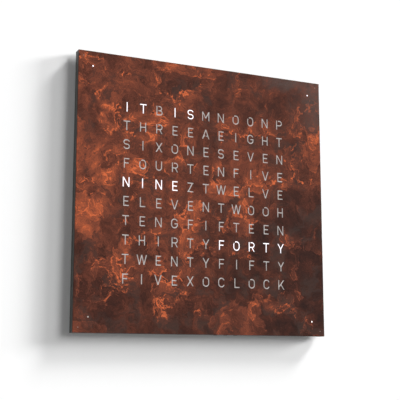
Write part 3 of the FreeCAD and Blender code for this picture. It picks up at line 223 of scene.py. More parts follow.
def make_fine_grain():
    """Fine surface grain: a mask for colour or roughness and a matching normal."""
    inputs = {"Point": "Vector", "Scale": "Float", "Height": "Float"}
    tree, given, wanted = new_group("fine grain", inputs, {"Mask": "Float", "Normal": "Vector"})
    mask = noise(tree, given["Point"], given["Scale"], detail=3.0, roughness=0.6)
    feed(tree, wanted, {"Mask": mask, "Normal": bump(tree, mask, 0.6, given["Height"])})
    return tree


def make_handling():
    """Faint smudges and dust from handling: broad soft marks with a few small specks."""
    inputs = {"Point": "Vector", "Size": "Float"}
    tree, given, wanted = new_group("handling marks", inputs, {"Marks": "Float", "Specks": "Float"})
    specks_per_mark = 26.0
    broad = noise(tree, given["Point"], given["Size"], detail=5.0, roughness=0.6, distortion=0.6)
    fine_size = math_node(tree, "MULTIPLY", given["Size"], specks_per_mark)
    fine = noise(tree, given["Point"], fine_size, detail=2.0, roughness=0.5)
    feed(tree, wanted, {
        "Marks": smooth_step(tree, broad, 0.42, 0.75),
        "Specks": smooth_step(tree, fine, 0.68, 0.78),
    })
    return tree


def make_rim_wear():
    """A thin worn band along the outer edge of the square face, broken up by noise."""
    inputs = {"Point": "Vector", "Width": "Float"}
    tree, given, wanted = new_group("rim wear", inputs, {"Mask": "Float"})
    size = split(tree, vector_node(tree, "ABSOLUTE", given["Point"]))
    outer = math_node(tree, "MAXIMUM", size["X"], size["Z"])
    inset = math_node(tree, "SUBTRACT", HALF_FACE, outer)
    share = math_node(tree, "DIVIDE", inset, given["Width"])
    broken = noise(tree, given["Point"], 160.0, detail=4.0, roughness=0.65)
    torn = weighted_sum(tree, share, (broken, 1.4))
    feed(tree, wanted, {"Mask": smooth_step(tree, torn, 1.5, 0.6)})
    return tree


def cell_centre(row, column):
    """Centre of a letter's cell on the face."""
    across = (column - (COLUMNS + 1) / 2) * COLUMN_PITCH
    up = ((ROWS + 1) / 2 - row) * ROW_PITCH
    return across, up


def word_cells(tree, point, row, first, last):
    """1 inside the cells of one word, 0 elsewhere."""
    left, up = cell_centre(row, first)
    right, _ = cell_centre(row, last)
    centre = ((left + right) / 2, 0.0, up)
    half = ((right - left + COLUMN_PITCH) / 2, 1.0, ROW_PITCH / 2)
    offset = vector_node(tree, "SUBTRACT", point, centre)
    size = split(tree, vector_node(tree, "DIVIDE", vector_node(tree, "ABSOLUTE", offset), half))
    outer = math_node(tree, "MAXIMUM", size["X"], size["Z"])
    return math_node(tree, "LESS_THAN", outer, WELL_SHARE)


def corner_distance(tree, point):
    """Distance from a point on the face to the nearest of the four corner points."""
    corner = (CORNER_POINT, 0.0, CORNER_POINT)
    folded = vector_node(tree, "SUBTRACT", vector_node(tree, "ABSOLUTE", point), corner)
    return vector_length(tree, vector_node(tree, "MULTIPLY", folded, FACE_PLANE))


def cell_distance(tree, point):
    """Distance from a point on the face to the middle of its own letter cell."""
    pitch = (COLUMN_PITCH, 1.0, ROW_PITCH)
    shift = (COLUMN_PITCH / 2, 0.0, 0.0)
    cells = vector_node(tree, "DIVIDE", vector_node(tree, "ADD", point, shift), pitch)
    fraction = vector_node(tree, "FRACTION", cells)
    centred = vector_node(tree, "MULTIPLY", vector_node(tree, "SUBTRACT", fraction, (0.5, 0.5, 0.5)), pitch)
    return vector_length(tree, vector_node(tree, "MULTIPLY", centred, FACE_PLANE))


def make_lit_cells():
    """Where light stands behind the face, and how strong it is.

    Lit are the cells of the lit words and all corner points but the one at the lower left.
    """
    tree, given, wanted = new_group("lit cells", {"Point": "Vector"}, {"Lit": "Float", "Pool": "Float"})
    point = given["Point"]
    words = strongest(tree, [word_cells(tree, point, *word) for word in LIT_WORDS])
    spot = smooth_step(tree, corner_distance(tree, point), SPOT_EDGE, SPOT_CORE)
    place = split(tree, point)
    lower_left = math_node(tree, "LESS_THAN", math_node(tree, "ADD", place["X"], place["Z"]), -CORNER_POINT)
    points = math_node(tree, "MULTIPLY", spot, math_node(tree, "SUBTRACT", 1.0, lower_left))
    pool = smooth_step(tree, cell_distance(tree, point), POOL_EDGE, POOL_CORE, POOL_DIM, POOL_BRIGHT)
    feed(tree, wanted, {"Lit": strongest(tree, [words, points]), "Pool": strongest(tree, [pool, spot])})
    return tree


SOFT_ZONE = make_soft_zone()
FINE_GRAIN = make_fine_grain()
HANDLING = make_handling()
RIM_WEAR = make_rim_wear()
LIT_CELLS = make_lit_cells()


# ---------------------------------------------------------------- the cover's patina

# Zones of the patina, placed on the face: (across, up, reach across, reach up), in metres.
SOLID_PATCHES = (
    (0.058, -0.206, 0.052, 0.034),
    (-0.212, -0.040, 0.034, 0.034),
    (0.034, 0.014, 0.036, 0.020),
    (0.066, -0.032, 0.022, 0.034),
    (-0.204, -0.219, 0.040, 0.012),
    (0.208, 0.100, 0.020, 0.034),
)
BRIGHT_PATCHES = (
    (-0.172, 0.024, 0.028, 0.016),
    (-0.176, 0.068, 0.032, 0.010),
    (-0.108, 0.088, 0.030, 0.012),
    (-0.106, 0.124, 0.036, 0.010),
    (0.098, 0.048, 0.032, 0.022),
    (0.030, -0.084, 0.020, 0.013),
    (-0.016, -0.052, 0.014, 0.010),
    (-0.054, 0.046, 0.020, 0.018),
    (-0.118, 0.042, 0.014, 0.012),
    (-0.144, -0.106, 0.016, 0.044),
    (-0.104, -0.118, 0.030, 0.012),
    (-0.020, 0.216, 0.070, 0.010),
    (-0.100, 0.194, 0.016, 0.013),
    (-0.032, 0.173, 0.013, 0.008),
    (0.146, -0.166, 0.040, 0.020),
    (0.160, -0.056, 0.022, 0.014),
    (0.200, -0.194, 0.014, 0.012),
    (-0.174, 0.112, 0.014, 0.022),
    (-0.224, 0.066, 0.015, 0.050),
    (-0.066, -0.168, 0.026, 0.022),
)
DARK_PATCHES = (
    (0.176, -0.018, 0.064, 0.048),
    (0.116, -0.050, 0.030, 0.030),
    (0.196, -0.130, 0.054, 0.064),
    (0.140, -0.216, 0.060, 0.022),
    (-0.158, -0.204, 0.034, 0.036),
    (-0.126, -0.166, 0.034, 0.022),
    (-0.222, -0.140, 0.026, 0.056),
    (0.026, -0.014, 0.024, 0.014),
    (-0.066, 0.192, 0.036, 0.020),
    (0.160, 0.190, 0.042, 0.022),
    (0.042, -0.150, 0.040, 0.020),
    (0.020, 0.160, 0.060, 0.018),
    (-0.142, 0.000, 0.024, 0.024),
    (0.010, 0.080, 0.044, 0.024),
    (-0.202, 0.086, 0.020, 0.024),
    (-0.074, 0.196, 0.020, 0.014),
)
RING_VEINS = ((-0.198, 0.186, 0.024, 0.034), (-0.118, 0.092, 0.026, 0.016), (-0.190, -0.150, 0.030, 0.046))
# Painted sheen: zones at the upper right where a grey reflection of the lamps is painted on the patina.
PAINTED_SHEEN_ZONES = ((0.216, 0.196, 0.056, 0.070), (0.150, 0.222, 0.050, 0.022))
BROAD_LIGHT = ((-0.130, 0.110, 0.260, 0.200), (0.060, 0.080, 0.200, 0.100), (0.000, 0.200, 0.180, 0.070))
BROAD_DARK = ((0.190, -0.130, 0.190, 0.200), (-0.070, -0.236, 0.230, 0.050), (0.090, 0.200, 0.120, 0.040))

# Colours of the copper from dark oxide to bright orange, by heat.
PATINA_TONES = (
    (0.00, (0.020, 0.008, 0.006)),
    (0.22, (0.046, 0.015, 0.010)),
    (0.38, (0.083, 0.026, 0.016)),
    (0.50, (0.130, 0.039, 0.024)),
    (0.62, (0.192, 0.055, 0.031)),
    (0.74, (0.290, 0.076, 0.038)),
    (0.87, (0.450, 0.106, 0.044)),
    (1.00, (0.660, 0.150, 0.056)),
)
SMOKE_BROWN = (0.056, 0.036, 0.030)
# painted sheen: the grey of the lamps' reflection, painted on the upper right of the patina
PAINTED_SHEEN_GREY = (0.125, 0.088, 0.078)
WORN_BROWN = (0.045, 0.022, 0.018)
WORN_WIDTH = 0.0009


def zones(tree, point, patches, fray):
    """The strongest of several soft zones at each point."""
    masks = []
    for across, up, wide, high in patches:
        inputs = {"Point": point, "Centre": (across, 0.0, up), "Reach": (wide, 100.0, high), "Fray": fray}
        masks.append(place_group(tree, SOFT_ZONE, inputs)["Mask"])
    return strongest(tree, masks)


def patina_patches(tree, point, broad, swirl, fray):
    """Masks of the orange patches and islands, their bright borders and the dark patches, by name."""
    crinkle = math_node(tree, "MULTIPLY", fray, 0.65)
    solid = zones(tree, point, SOLID_PATCHES, crinkle)
    bright = zones(tree, point, BRIGHT_PATCHES, fray)
    dark = zones(tree, point, DARK_PATCHES, fray)
    rings = zones(tree, point, RING_VEINS, crinkle)

    # The gate is 1 where borders are crisp and 0 where patches fade softly into the brown.
    gate = smooth_step(tree, noise(tree, broad, 22.0, 3.0, 0.5), 0.42, 0.56)
    patch_end = smooth_step(tree, gate, 0.0, 1.0, 0.95, 0.40)
    island_end = smooth_step(tree, gate, 0.0, 1.0, 0.800, 0.640)
    filled = smooth_step(tree, solid, 0.31, 0.39)
    patch = strongest(tree, [smooth_step(tree, bright, 0.24, patch_end), filled])
    region = noise(tree, swirl, 20.0, 6.0, 0.56)
    level = weighted_sum(tree, -0.40, (region, 1.8), (bright, 0.10), (dark, -0.14))
    island = smooth_step(tree, level, 0.600, island_end)

    edges = strongest(tree, [contour(tree, bright, 0.34, 0.16), contour(tree, level, 0.620, 0.030)])
    shores = math_node(tree, "MULTIPLY", contour(tree, solid, 0.34, 0.11), 0.5)
    veins = strongest(tree, [shores, contour(tree, rings, 0.45, 0.15)])
    broken = smooth_step(tree, noise(tree, swirl, 34.0, 3.0, 0.5), 0.44, 0.58)
    borders = [math_node(tree, "MULTIPLY", edges, gate), math_node(tree, "MULTIPLY", veins, broken)]
    return {
        "dark": dark,
        "filled": filled,
        "patch": patch,
        "island": island,
        "rich": strongest(tree, [patch, island]),
        "rim": strongest(tree, borders),
    }


def patina_heat(tree, point, broad, swirl, mottle, masks):
    """How bright the copper has turned, from dark oxide at 0 to orange at 1."""
    light_side = zones(tree, point, BROAD_LIGHT, 0.0)
    dark_side = zones(tree, point, BROAD_DARK, 0.0)
    cloud = noise(tree, broad, 13.0, 6.0, 0.58)
    middle = noise(tree, swirl, 44.0, 6.0, 0.58)
    curd = noise(tree, swirl, 160.0, 6.0, 0.70)
    specks = smooth_step(tree, noise(tree, point, 820.0, 2.0, 0.5), 0.60, 0.72)

    stir = noise(tree, broad, 11.0, 3.0, 0.5)
    activity = weighted_sum(tree, stir, (dark_side, -0.10), (masks["dark"], -0.10))
    active = smooth_step(tree, activity, 0.36, 0.56, 0.25, 1.0)
    high_curd = weighted_sum(tree, curd, (masks["rim"], 0.14), (masks["rich"], 0.02))
    low_curd = weighted_sum(tree, curd, (masks["rich"], 0.02))
    fleck = smooth_step(tree, high_curd, 0.57, 0.68)
    pit = smooth_step(tree, low_curd, 0.47, 0.36)
    return weighted_sum(
        tree, -0.935,
        (light_side, 0.10), (dark_side, -0.14), (masks["dark"], -0.09),
        (cloud, 0.80), (middle, 0.95), (mottle, 0.94),
        (masks["patch"], 0.10), (masks["filled"], 0.10), (masks["island"], 0.08), (masks["rim"], 0.24),
        (math_node(tree, "MULTIPLY", fleck, active), 0.35),
        (math_node(tree, "MULTIPLY", pit, active), -0.20),
        (specks, -0.10))


def patina_colour(tree, point, broad, swirl, fray, mottle, heat):
    """The tones of the heat under brown smoke, a painted grey sheen standing for the lamps' reflection at
    the upper right, and a dark worn rim.
    """
    coloured = ramp(tree, heat, PATINA_TONES)
    smoke = smooth_step(tree, noise(tree, swirl, 26.0, 6.0, 0.62), 0.48, 0.60)
    cool = math_node(tree, "MULTIPLY", smoke, smooth_step(tree, heat, 0.62, 0.30))
    coloured = blend_colour(tree, math_node(tree, "MULTIPLY", cool, 0.50), coloured, SMOKE_BROWN)
    # painted sheen: the upper right is greyed where the lamps' reflection would fall
    sheen_zone = zones(tree, broad, PAINTED_SHEEN_ZONES, math_node(tree, "MULTIPLY", fray, 0.4))
    painted_sheen = math_node(tree, "MULTIPLY", sheen_zone, smooth_step(tree, mottle, 0.38, 0.60, 0.62, 0.24))
    coloured = blend_colour(tree, painted_sheen, coloured, PAINTED_SHEEN_GREY)
    worn = place_group(tree, RIM_WEAR, {"Point": point, "Width": WORN_WIDTH})["Mask"]
    return blend_colour(tree, math_node(tree, "MULTIPLY", worn, 0.5), coloured, WORN_BROWN)


# ---------------------------------------------------------------- finishes

def new_finish(name, inputs=None):
    """A material with one Principled shader; returns the material, its tree and the shader."""
    material = bpy.data.materials.new(name)
    material.use_nodes = True
    tree = material.node_tree
    tree.nodes.clear()
    shader = add(tree, "BsdfPrincipled", inputs)
    add(tree, "OutputMaterial", {"Surface": shader.outputs["BSDF"]})
    return material, tree, shader


def copper_patina():
    """Brown to orange-red patina: clouds, curdled orange islands with bright borders, fine mottling."""
    material, tree, shader = new_finish("copper_patina", {"Specular IOR Level": 0.15})
    point = vector_node(tree, "MULTIPLY", object_point(tree), FACE_PLANE)
    broad = warp(tree, point, 8.0, 0.10)
    swirl = warp(tree, warp(tree, point, 20.0, 0.070), 70.0, 0.022)
    fray = weighted_sum(tree, -1.55, (noise(tree, swirl, 30.0, 6.0, 0.60), 3.1))
    mottle = noise(tree, swirl, 420.0, 4.0, 0.66)
    masks = patina_patches(tree, point, broad, swirl, fray)
    heat = patina_heat(tree, point, broad, swirl, mottle, masks)
    relief = weighted_sum(tree, 0.0, (masks["rich"], 0.5), (mottle, 0.5))
    feed(tree, shader, {
        "Base Color": patina_colour(tree, point, broad, swirl, fray, mottle, heat),
        "Roughness": smooth_step(tree, heat, 0.2, 0.8, 0.44, 0.64),
        "Normal": bump(tree, relief, 0.3, 0.0002),
    })
    return material


def opal_sheet():
    """White light-spreading sheet: bright where lamps stand behind it, soft light grey elsewhere, with a
    painted glow on the unlit letters against the shade of the cut walls.
    """
    material, tree, shader = new_finish("opal_sheet", {"Roughness": 0.6, "Emission Strength": SHEET_GLOW})
    skin_deep = 0.0005
    point = object_point(tree)
    grain = place_group(tree, FINE_GRAIN, {"Point": point, "Scale": 1500.0, "Height": 0.00004})
    raised = math_node(tree, "LESS_THAN", split(tree, point)["Y"], COVER_BACK_Y + skin_deep)
    lit = place_group(tree, LIT_CELLS, {"Point": point})
    # unlit letter lands get a painted glow that fills the shade of the cut walls
    glow = blend_colour(tree, lit["Lit"], blend_colour(tree, raised, BLACK, UNLIT_LETTER_GLOW), LIT_LETTER)
    feed(tree, shader, {
        "Base Color": blend_colour(tree, grain["Mask"], (0.44, 0.42, 0.41), (0.50, 0.48, 0.47)),
        "Emission Color": blend_colour(tree, lit["Pool"], BLACK, glow),
        "Normal": grain["Normal"],
    })
    return material


def moulded(name, colour, roughness=0.45, grain=1800.0, height=0.00005, specular=0.5):
    """Moulded plastic or rubber: fine grain, faint tone changes and handling marks."""
    material, tree, shader = new_finish(name, {"Specular IOR Level": specular})
    point = object_point(tree)
    fine = place_group(tree, FINE_GRAIN, {"Point": point, "Scale": grain, "Height": height})
    marks = place_group(tree, HANDLING, {"Point": point, "Size": 60.0})
    light = tuple(min(1.0, part * 1.12 + 0.004) for part in colour)
    dark = tuple(part * 0.88 for part in colour)
    tone = blend_colour(tree, fine["Mask"], dark, light)
    dust = math_node(tree, "MULTIPLY", marks["Specks"], 0.12)
    feed(tree, shader, {
        "Base Color": blend_colour(tree, dust, tone, (0.4, 0.39, 0.37)),
        "Roughness": weighted_sum(tree, roughness - 0.05, (marks["Marks"], 0.10)),
        "Normal": fine["Normal"],
    })
    return material


def plated(name, colour, roughness=0.3, stretch=(1.0, 1.0, 1.0)):
    """Bare or plated metal: stretched brushing lines, smudges and tone changes."""
    material, tree, shader = new_finish(name, {"Metallic": 1.0})
    point = object_point(tree)
    lines = noise(tree, vector_node(tree, "MULTIPLY", point, stretch), 900.0, 4.0, 0.65)
    marks = place_group(tree, HANDLING, {"Point": point, "Size": 45.0})
    dark = tuple(part * 0.80 for part in colour)
    feed(tree, shader, {
        "Base Color": blend_colour(tree, lines, dark, colour),
        "Roughness": weighted_sum(tree, roughness - 0.06, (lines, 0.14), (marks["Marks"], 0.05)),
        "Normal": bump(tree, lines, 0.25, 0.00004),
    })
    return material


def dark_lacquer():
    """Dark grey satin lacquer over fibreboard: orange peel, and painted light that makes the front part of
    the sides paler than the part nearer the wall, which stays dark as in shade.
    """
    material, tree, shader = new_finish("dark_lacquer", {"Specular IOR Level": 0.12})
    painted_light_start_y, painted_light_full_y = -0.0105, -0.0125
    point = object_point(tree)
    marks = place_group(tree, HANDLING, {"Point": point, "Size": 18.0})["Marks"]
    tone = blend_colour(tree, marks, (0.112, 0.112, 0.106), (0.126, 0.126, 0.120))
    # painted light: the side is paler towards the front and darker towards the wall
    rim = smooth_step(tree, split(tree, point)["Y"], painted_light_start_y, painted_light_full_y)
    feed(tree, shader, {
        "Base Color": blend_colour(tree, math_node(tree, "MULTIPLY", rim, 0.6), tone, (0.170, 0.170, 0.162)),
        "Roughness": weighted_sum(tree, 0.42, (marks, 0.12)),
        "Normal": bump(tree, noise(tree, point, 520.0, 2.0, 0.5), 0.2, 0.0001),
    })
    return material


def board_laminate():
    """Green solder mask with copper tracks showing through and rows of small tinned holes."""
    material, tree, shader = new_finish("board_laminate", {"Roughness": 0.35})
    flat = vector_node(tree, "MULTIPLY", object_point(tree), FACE_PLANE)
    level_steps = vector_node(tree, "SNAP", flat, (0.0032, 1.0, 0.0009))
    upright_steps = vector_node(tree, "SNAP", flat, (0.0011, 1.0, 0.0041))
    level_tracks = smooth_step(tree, noise(tree, level_steps, 240.0, 1.0, 0.5), 0.50, 0.53)
    upright_tracks = smooth_step(tree, noise(tree, upright_steps, 200.0, 1.0, 0.5), 0.56, 0.58)
    tracks = strongest(tree, [level_tracks, upright_tracks])
    mask = blend_colour(tree, tracks, (0.008, 0.075, 0.036), (0.016, 0.125, 0.058))
    holes = add(tree, "TexVoronoi", {"Vector": flat, "Scale": 190.0, "Randomness": 0.55}).outputs["Distance"]
    ring = smooth_step(tree, holes, 0.12, 0.09)
    feed(tree, shader, {
        "Base Color": blend_colour(tree, ring, mask, (0.55, 0.55, 0.53)),
        "Normal": bump(tree, tracks, 0.3, 0.00005),
    })
    return material


def lamp_bodies():
    """White lamp bodies with a round pale yellow face; those behind lit letters glow."""
    material, tree, shader = new_finish("lamp_bodies", {"Roughness": 0.35, "Emission Strength": LAMP_GLOW})
    face_core, face_edge = 0.00100, 0.00115
    point = object_point(tree)
    away = math_node(tree, "MINIMUM", cell_distance(tree, point), corner_distance(tree, point))
    face = smooth_step(tree, away, face_edge, face_core)
    grain = place_group(tree, FINE_GRAIN, {"Point": point, "Scale": 2600.0, "Height": 0.00002})
    body = blend_colour(tree, grain["Mask"], (0.78, 0.78, 0.76), (0.86, 0.86, 0.84))
    lit = math_node(tree, "MULTIPLY", place_group(tree, LIT_CELLS, {"Point": point})["Lit"], face)
    feed(tree, shader, {
        "Base Color": blend_colour(tree, face, body, (0.85, 0.66, 0.16)),
        "Emission Color": blend_colour(tree, lit, BLACK, LAMP_LIGHT),
        "Normal": grain["Normal"],
    })
    return material


def white_moulding():
    """Matt white moulding; the wells of lit letters are washed with light from their lamps."""
    material, tree, shader = new_finish("white_moulding", {"Roughness": 0.6, "Emission Strength": WELL_GLOW})
    point = object_point(tree)
    grain = place_group(tree, FINE_GRAIN, {"Point": point, "Scale": 1600.0, "Height": 0.00004})
    lit = place_group(tree, LIT_CELLS, {"Point": point})["Lit"]
    feed(tree, shader, {
        "Base Color": blend_colour(tree, grain["Mask"], (0.74, 0.74, 0.72), (0.82, 0.82, 0.80)),
        "Emission Color": blend_colour(tree, lit, BLACK, WELL_LIGHT),
        "Normal": grain["Normal"],
    })
    return material


def copper_winding():
    """Enamelled copper wire wound in close turns along the rod."""
    material, tree, shader = new_finish("copper_winding", {"Roughness": 0.3, "Metallic": 0.9})
    wound = {"Scale": 780.0, "Distortion": 0.4, "Detail": 2.0, "Detail Scale": 1.5}
    turns = stripes(tree, object_point(tree), wound)
    feed(tree, shader, {
        "Base Color": blend_colour(tree, turns, (0.20, 0.055, 0.022), (0.60, 0.24, 0.10)),
        "Normal": bump(tree, turns, 0.8, 0.0002),
    })
    return material


def ribbon_jacket():
    """Grey ribbon insulation with a groove between its conductors and one marked edge."""
    material, tree, shader = new_finish("ribbon_jacket")
    core_width = 0.0013
    point = object_point(tree)
    cores = stripes(tree, point, {"Scale": 250.0})
    marked = math_node(tree, "LESS_THAN", split(tree, point)["X"], RIBBON_EDGE_X + core_width)
    tone = blend_colour(tree, cores, (0.24, 0.24, 0.25), (0.46, 0.46, 0.47))
    feed(tree, shader, {
        "Base Color": blend_colour(tree, marked, tone, (0.45, 0.04, 0.03)),
        "Normal": bump(tree, cores, 0.8, 0.0002),
    })
    return material


def capacitor_cans():
    """Bare cans with fine streaks, standing on black bases."""
    material, tree, shader = new_finish("capacitor_cans")
    base_high = 0.0009
    point = object_point(tree)
    can = math_node(tree, "LESS_THAN", split(tree, point)["Y"], BOARD_FRONT_Y - base_high)
    streaks = noise(tree, vector_node(tree, "MULTIPLY", point, (1.0, 0.1, 1.0)), 2200.0, 3.0, 0.6)
    bare = blend_colour(tree, streaks, (0.50, 0.51, 0.52), (0.72, 0.73, 0.74))
    feed(tree, shader, {
        "Base Color": blend_colour(tree, can, (0.02, 0.02, 0.022), bare),
        "Metallic": can,
        "Roughness": weighted_sum(tree, 0.22, (streaks, 0.15)),
    })
    return material


def chip_with_legs(node, half_body):
    """Black resin between two rows of tinned legs; the body reaches half_body either side of its middle."""
    low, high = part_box(node)
    middle = (low.x + high.x) / 2
    past_body = half_body + 0.00001
    material, tree, shader = new_finish("chip_" + node)
    point = object_point(tree)
    aside = math_node(tree, "ABSOLUTE", math_node(tree, "SUBTRACT", split(tree, point)["X"], middle))
    legs = math_node(tree, "GREATER_THAN", aside, past_body)
    grain = place_group(tree, FINE_GRAIN, {"Point": point, "Scale": 3200.0, "Height": 0.00003})
    resin = blend_colour(tree, grain["Mask"], (0.015, 0.015, 0.017), (0.024, 0.024, 0.026))
    feed(tree, shader, {
        "Base Color": blend_colour(tree, legs, resin, (0.62, 0.62, 0.60)),
        "Metallic": legs,
        "Normal": grain["Normal"],
    })
    return material


def clear_pipe():
    """Clear acrylic with polished ends and faint dust."""
    material, tree, shader = new_finish("clear_pipe", {"IOR": 1.49, "Transmission Weight": 1.0})
    marks = place_group(tree, HANDLING, {"Point": object_point(tree), "Size": 120.0})["Marks"]
    feed(tree, shader, {
        "Base Color": blend_colour(tree, marks, (0.93, 0.96, 0.97), (0.86, 0.90, 0.92)),
        "Roughness": math_node(tree, "MULTIPLY", marks, 0.12),
    })
    return material


def pinned_tips():
    """Bare steel pins whose tips, flush with the face, are darkened to match the patina."""
    material, tree, shader = new_finish("pinned_tips", {"Roughness": 0.4})
    tip_deep = 0.0002
    point = object_point(tree)
    tip = math_node(tree, "LESS_THAN", split(tree, point)["Y"], FRONT_Y + tip_deep)
    grain = noise(tree, point, 1800.0, 3.0, 0.6)
    brown = blend_colour(tree, grain, (0.050, 0.026, 0.020), (0.400, 0.280, 0.240))
    steel = blend_colour(tree, grain, (0.42, 0.43, 0.45), (0.58, 0.59, 0.61))
    feed(tree, shader, {
        "Base Color": blend_colour(tree, tip, steel, brown),
        "Metallic": math_node(tree, "SUBTRACT", 1.0, tip),
        "Normal": bump(tree, grain, 0.3, 0.00005),
    })
    return material


LENGTHWISE = (0.05, 1.0, 1.0)           # brushing drawn out along X
UPRIGHT = (1.0, 1.0, 0.04)              # along Z
INWARD = (1.0, 0.1, 1.0)                # along Y

FINISHES = {
    "copper_patina": copper_patina(),
    "opal_sheet": opal_sheet(),
    "dark_lacquer": dark_lacquer(),
    "anodised_sheet": plated("anodised_sheet", (0.095, 0.096, 0.10), 0.42, UPRIGHT),
    "zinc_steel": plated("zinc_steel", (0.56, 0.57, 0.60), 0.32, LENGTHWISE),
    "zinc_screws": plated("zinc_screws", (0.58, 0.59, 0.62), 0.28),
    "black_screws": plated("black_screws", (0.045, 0.045, 0.048), 0.36),
    "bumper_rubber": moulded("bumper_rubber", (0.020, 0.020, 0.021), 0.75, 1400.0, 0.00010, 0.3),
    "nickel_plate": plated("nickel_plate", (0.66, 0.64, 0.60), 0.22),
    "board_laminate": board_laminate(),
    "lamp_bodies": lamp_bodies(),
    "white_moulding": white_moulding(),
    "brass_turnings": plated("brass_turnings", (0.72, 0.50, 0.20), 0.28, INWARD),
    "chip_resin": moulded("chip_resin", (0.018, 0.018, 0.020), 0.55, 3200.0, 0.00003),
    "lead_jacket": moulded("lead_jacket", (0.045, 0.045, 0.050), 0.5, 2200.0, 0.00003),
    "ribbon_jacket": ribbon_jacket(),
    "foam_pads": moulded("foam_pads", (0.085, 0.085, 0.090), 0.95, 2600.0, 0.00025, 0.1),
    "black_moulding": moulded("black_moulding", (0.020, 0.020, 0.022), 0.45),
    "ivory_moulding": moulded("ivory_moulding", (0.70, 0.66, 0.55), 0.42),
    "button_moulding": moulded("button_moulding", (0.060, 0.060, 0.060), 0.5, 2400.0, 0.00008),
    "ferrite": moulded("ferrite", (0.032, 0.031, 0.034), 0.6, 2800.0, 0.00008, 0.4),
    "copper_winding": copper_winding(),
    "capacitor_cans": capacitor_cans(),
    "clear_pipe": clear_pipe(),
    "spring_steel": plated("spring_steel", (0.58, 0.58, 0.57), 0.2),
}
NODE_FINISHES = {
    "locating_studs": pinned_tips(),
    "control_chip": chip_with_legs("control_chip", 0.005),
    "radio_chip": chip_with_legs("radio_chip", 0.0022),
}


def dress_nodes():
    """Give every node of the clock its own finish, or that of its material slot."""
    slots = {entry["node"]: entry["material_slot"] for entry in frame["record"]["subparts"]}
    for name, piece in frame["nodes"].items():
        finish = NODE_FINISHES.get(name) or FINISHES[slots[name]]
        piece.data.materials.clear()
        piece.data.materials.append(finish)


# ---------------------------------------------------------------- wall and floor

WALL_Y = 0.0006                         # just behind the clock's wall plate
FLOOR_Z = -1.3
STAGE_REACH = 6.0
BOUNCE = 0.65                           # share of its colour with which the stage lights the clock


def grey(level):
    """A neutral colour."""
    return (level, level, level)


def stage_sheet(name, corners, finish):
    """A flat four-cornered stage sheet."""
    mesh = bpy.data.meshes.new(name)
    mesh.from_pydata(corners, [], [(0, 1, 2, 3)])
    sheet = bpy.data.objects.new(name, mesh)
    bpy.context.scene.collection.objects.link(sheet)
    mesh.materials.append(finish)


def stage_paint(name, level, lift, opening=0.0):
    """Pale paint on the front of a stage sheet, lifted where the camera, a reflection or glass sees it.

    It throws only part of its light back, so that the clock's sides stay as dark as their lacquer.
    Inside the opening, a square of this half width about the clock, only the camera sees the paint,
    and light from behind reaches the back of the clock.
    """
    material = bpy.data.materials.new(name)
    material.use_nodes = True
    tree = material.node_tree
    tree.nodes.clear()
    path = add(tree, "LightPath").outputs
    seen = strongest(tree, [path["Is Camera Ray"], path["Is Glossy Ray"], path["Is Transmission Ray"]])
    size = split(tree, vector_node(tree, "ABSOLUTE", object_point(tree)))
    outside = math_node(tree, "GREATER_THAN", math_node(tree, "MAXIMUM", size["X"], size["Z"]), opening)
    solid = strongest(tree, [path["Is Camera Ray"], outside])
    front = math_node(tree, "SUBTRACT", 1.0, add(tree, "NewGeometry").outputs["Backfacing"])
    tone = blend_colour(tree, seen, grey(level * BOUNCE), grey(level))
    paint = add(tree, "BsdfDiffuse", {"Color": tone}).outputs[0]
    shine = math_node(tree, "MULTIPLY", seen, lift)
    glow = add(tree, "Emission", {"Color": WHITE, "Strength": shine}).outputs[0]
    bright = add(tree, "AddShader", {0: paint, 1: glow}).outputs[0]
    clear = add(tree, "BsdfTransparent").outputs[0]
    cover = math_node(tree, "MULTIPLY", solid, front)
    surface = add(tree, "MixShader", {0: cover, 1: clear, 2: bright}).outputs[0]
    add(tree, "OutputMaterial", {"Surface": surface})
    return material


def make_stage():
    """A white wall just behind the clock and a pale floor well below it."""
    low, high = -STAGE_REACH, STAGE_REACH
    wall = [(low, WALL_Y, FLOOR_Z), (high, WALL_Y, FLOOR_Z), (high, WALL_Y, high), (low, WALL_Y, high)]
    floor = [(low, low, FLOOR_Z), (high, low, FLOOR_Z), (high, high, FLOOR_Z), (low, high, FLOOR_Z)]
    stage_sheet("wall", wall, stage_paint("wall_paint", level=0.98, lift=0.040, opening=HALF_FACE))
    stage_sheet("floor", floor, stage_paint("floor_paint", level=0.14, lift=0.70))


# ---------------------------------------------------------------- light and camera

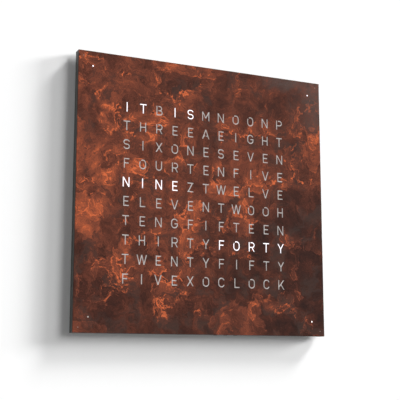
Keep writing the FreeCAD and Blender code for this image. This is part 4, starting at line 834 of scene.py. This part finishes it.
# Broad soft lamps far off: (name, direction of the lamp, strength, spread in degrees).
SUNS = (
    ("side_light", (3.72, -1.0, 1.18), 3.35, 13.0),
    ("top_light", (2.41, -1.0, 2.78), 3.35, 13.0),
    ("front_light", (0.79, -1.0, 0.42), 1.2, 29.0),
    ("back_light", (-0.45, 1.0, 0.50), 1.5, 50.0),
)
FILL = 0.19                             # the even glow all round; seen directly or mirrored it is white

CAMERA_PLACE = (-0.6585, -1.4088, -0.2740)
CAMERA_YAW, CAMERA_PITCH = math.radians(25.0), math.radians(9.976)
LENS_MM, SENSOR_MM = 84.63, 36.0
VIEW_REACH = 50.0


def make_sun(name, towards, strength, spread):
    """A sun lamp in a direction; the white studio stands in for it in reflections."""
    lamp = bpy.data.lights.new(name, "SUN")
    lamp.energy = strength
    lamp.angle = math.radians(spread)
    sun = bpy.data.objects.new(name, lamp)
    bpy.context.scene.collection.objects.link(sun)
    x, y, z = towards
    sun.rotation_euler = (math.atan2(math.hypot(x, y), z), 0.0, math.atan2(x, -y))
    sun.visible_glossy = False


def make_light():
    """Soft light from the upper right in front, with an even glow all round."""
    for sun in SUNS:
        make_sun(*sun)
    world = bpy.data.worlds.new("studio")
    bpy.context.scene.world = world
    world.use_nodes = True
    tree = world.node_tree
    tree.nodes.clear()
    path = add(tree, "LightPath").outputs
    seen = strongest(tree, [path["Is Camera Ray"], path["Is Glossy Ray"], path["Is Transmission Ray"]])
    level = weighted_sum(tree, FILL, (seen, 1 - FILL))
    sky = add(tree, "Background", {"Color": WHITE, "Strength": level}).outputs[0]
    add(tree, "OutputWorld", {"Surface": sky})


def make_camera():
    """Camera below and left of the clock, turned a little upwards."""
    lens = bpy.data.cameras.new("camera")
    lens.sensor_width = SENSOR_MM
    lens.lens = LENS_MM
    lens.clip_end = VIEW_REACH
    camera = bpy.data.objects.new("camera", lens)
    bpy.context.scene.collection.objects.link(camera)
    camera.location = CAMERA_PLACE
    camera.rotation_euler = (math.pi / 2 + CAMERA_PITCH, 0.0, -CAMERA_YAW)
    bpy.context.scene.camera = camera


dress_nodes()
make_stage()
make_light()
make_camera()
bpy.context.scene.view_settings.view_transform = "Standard"
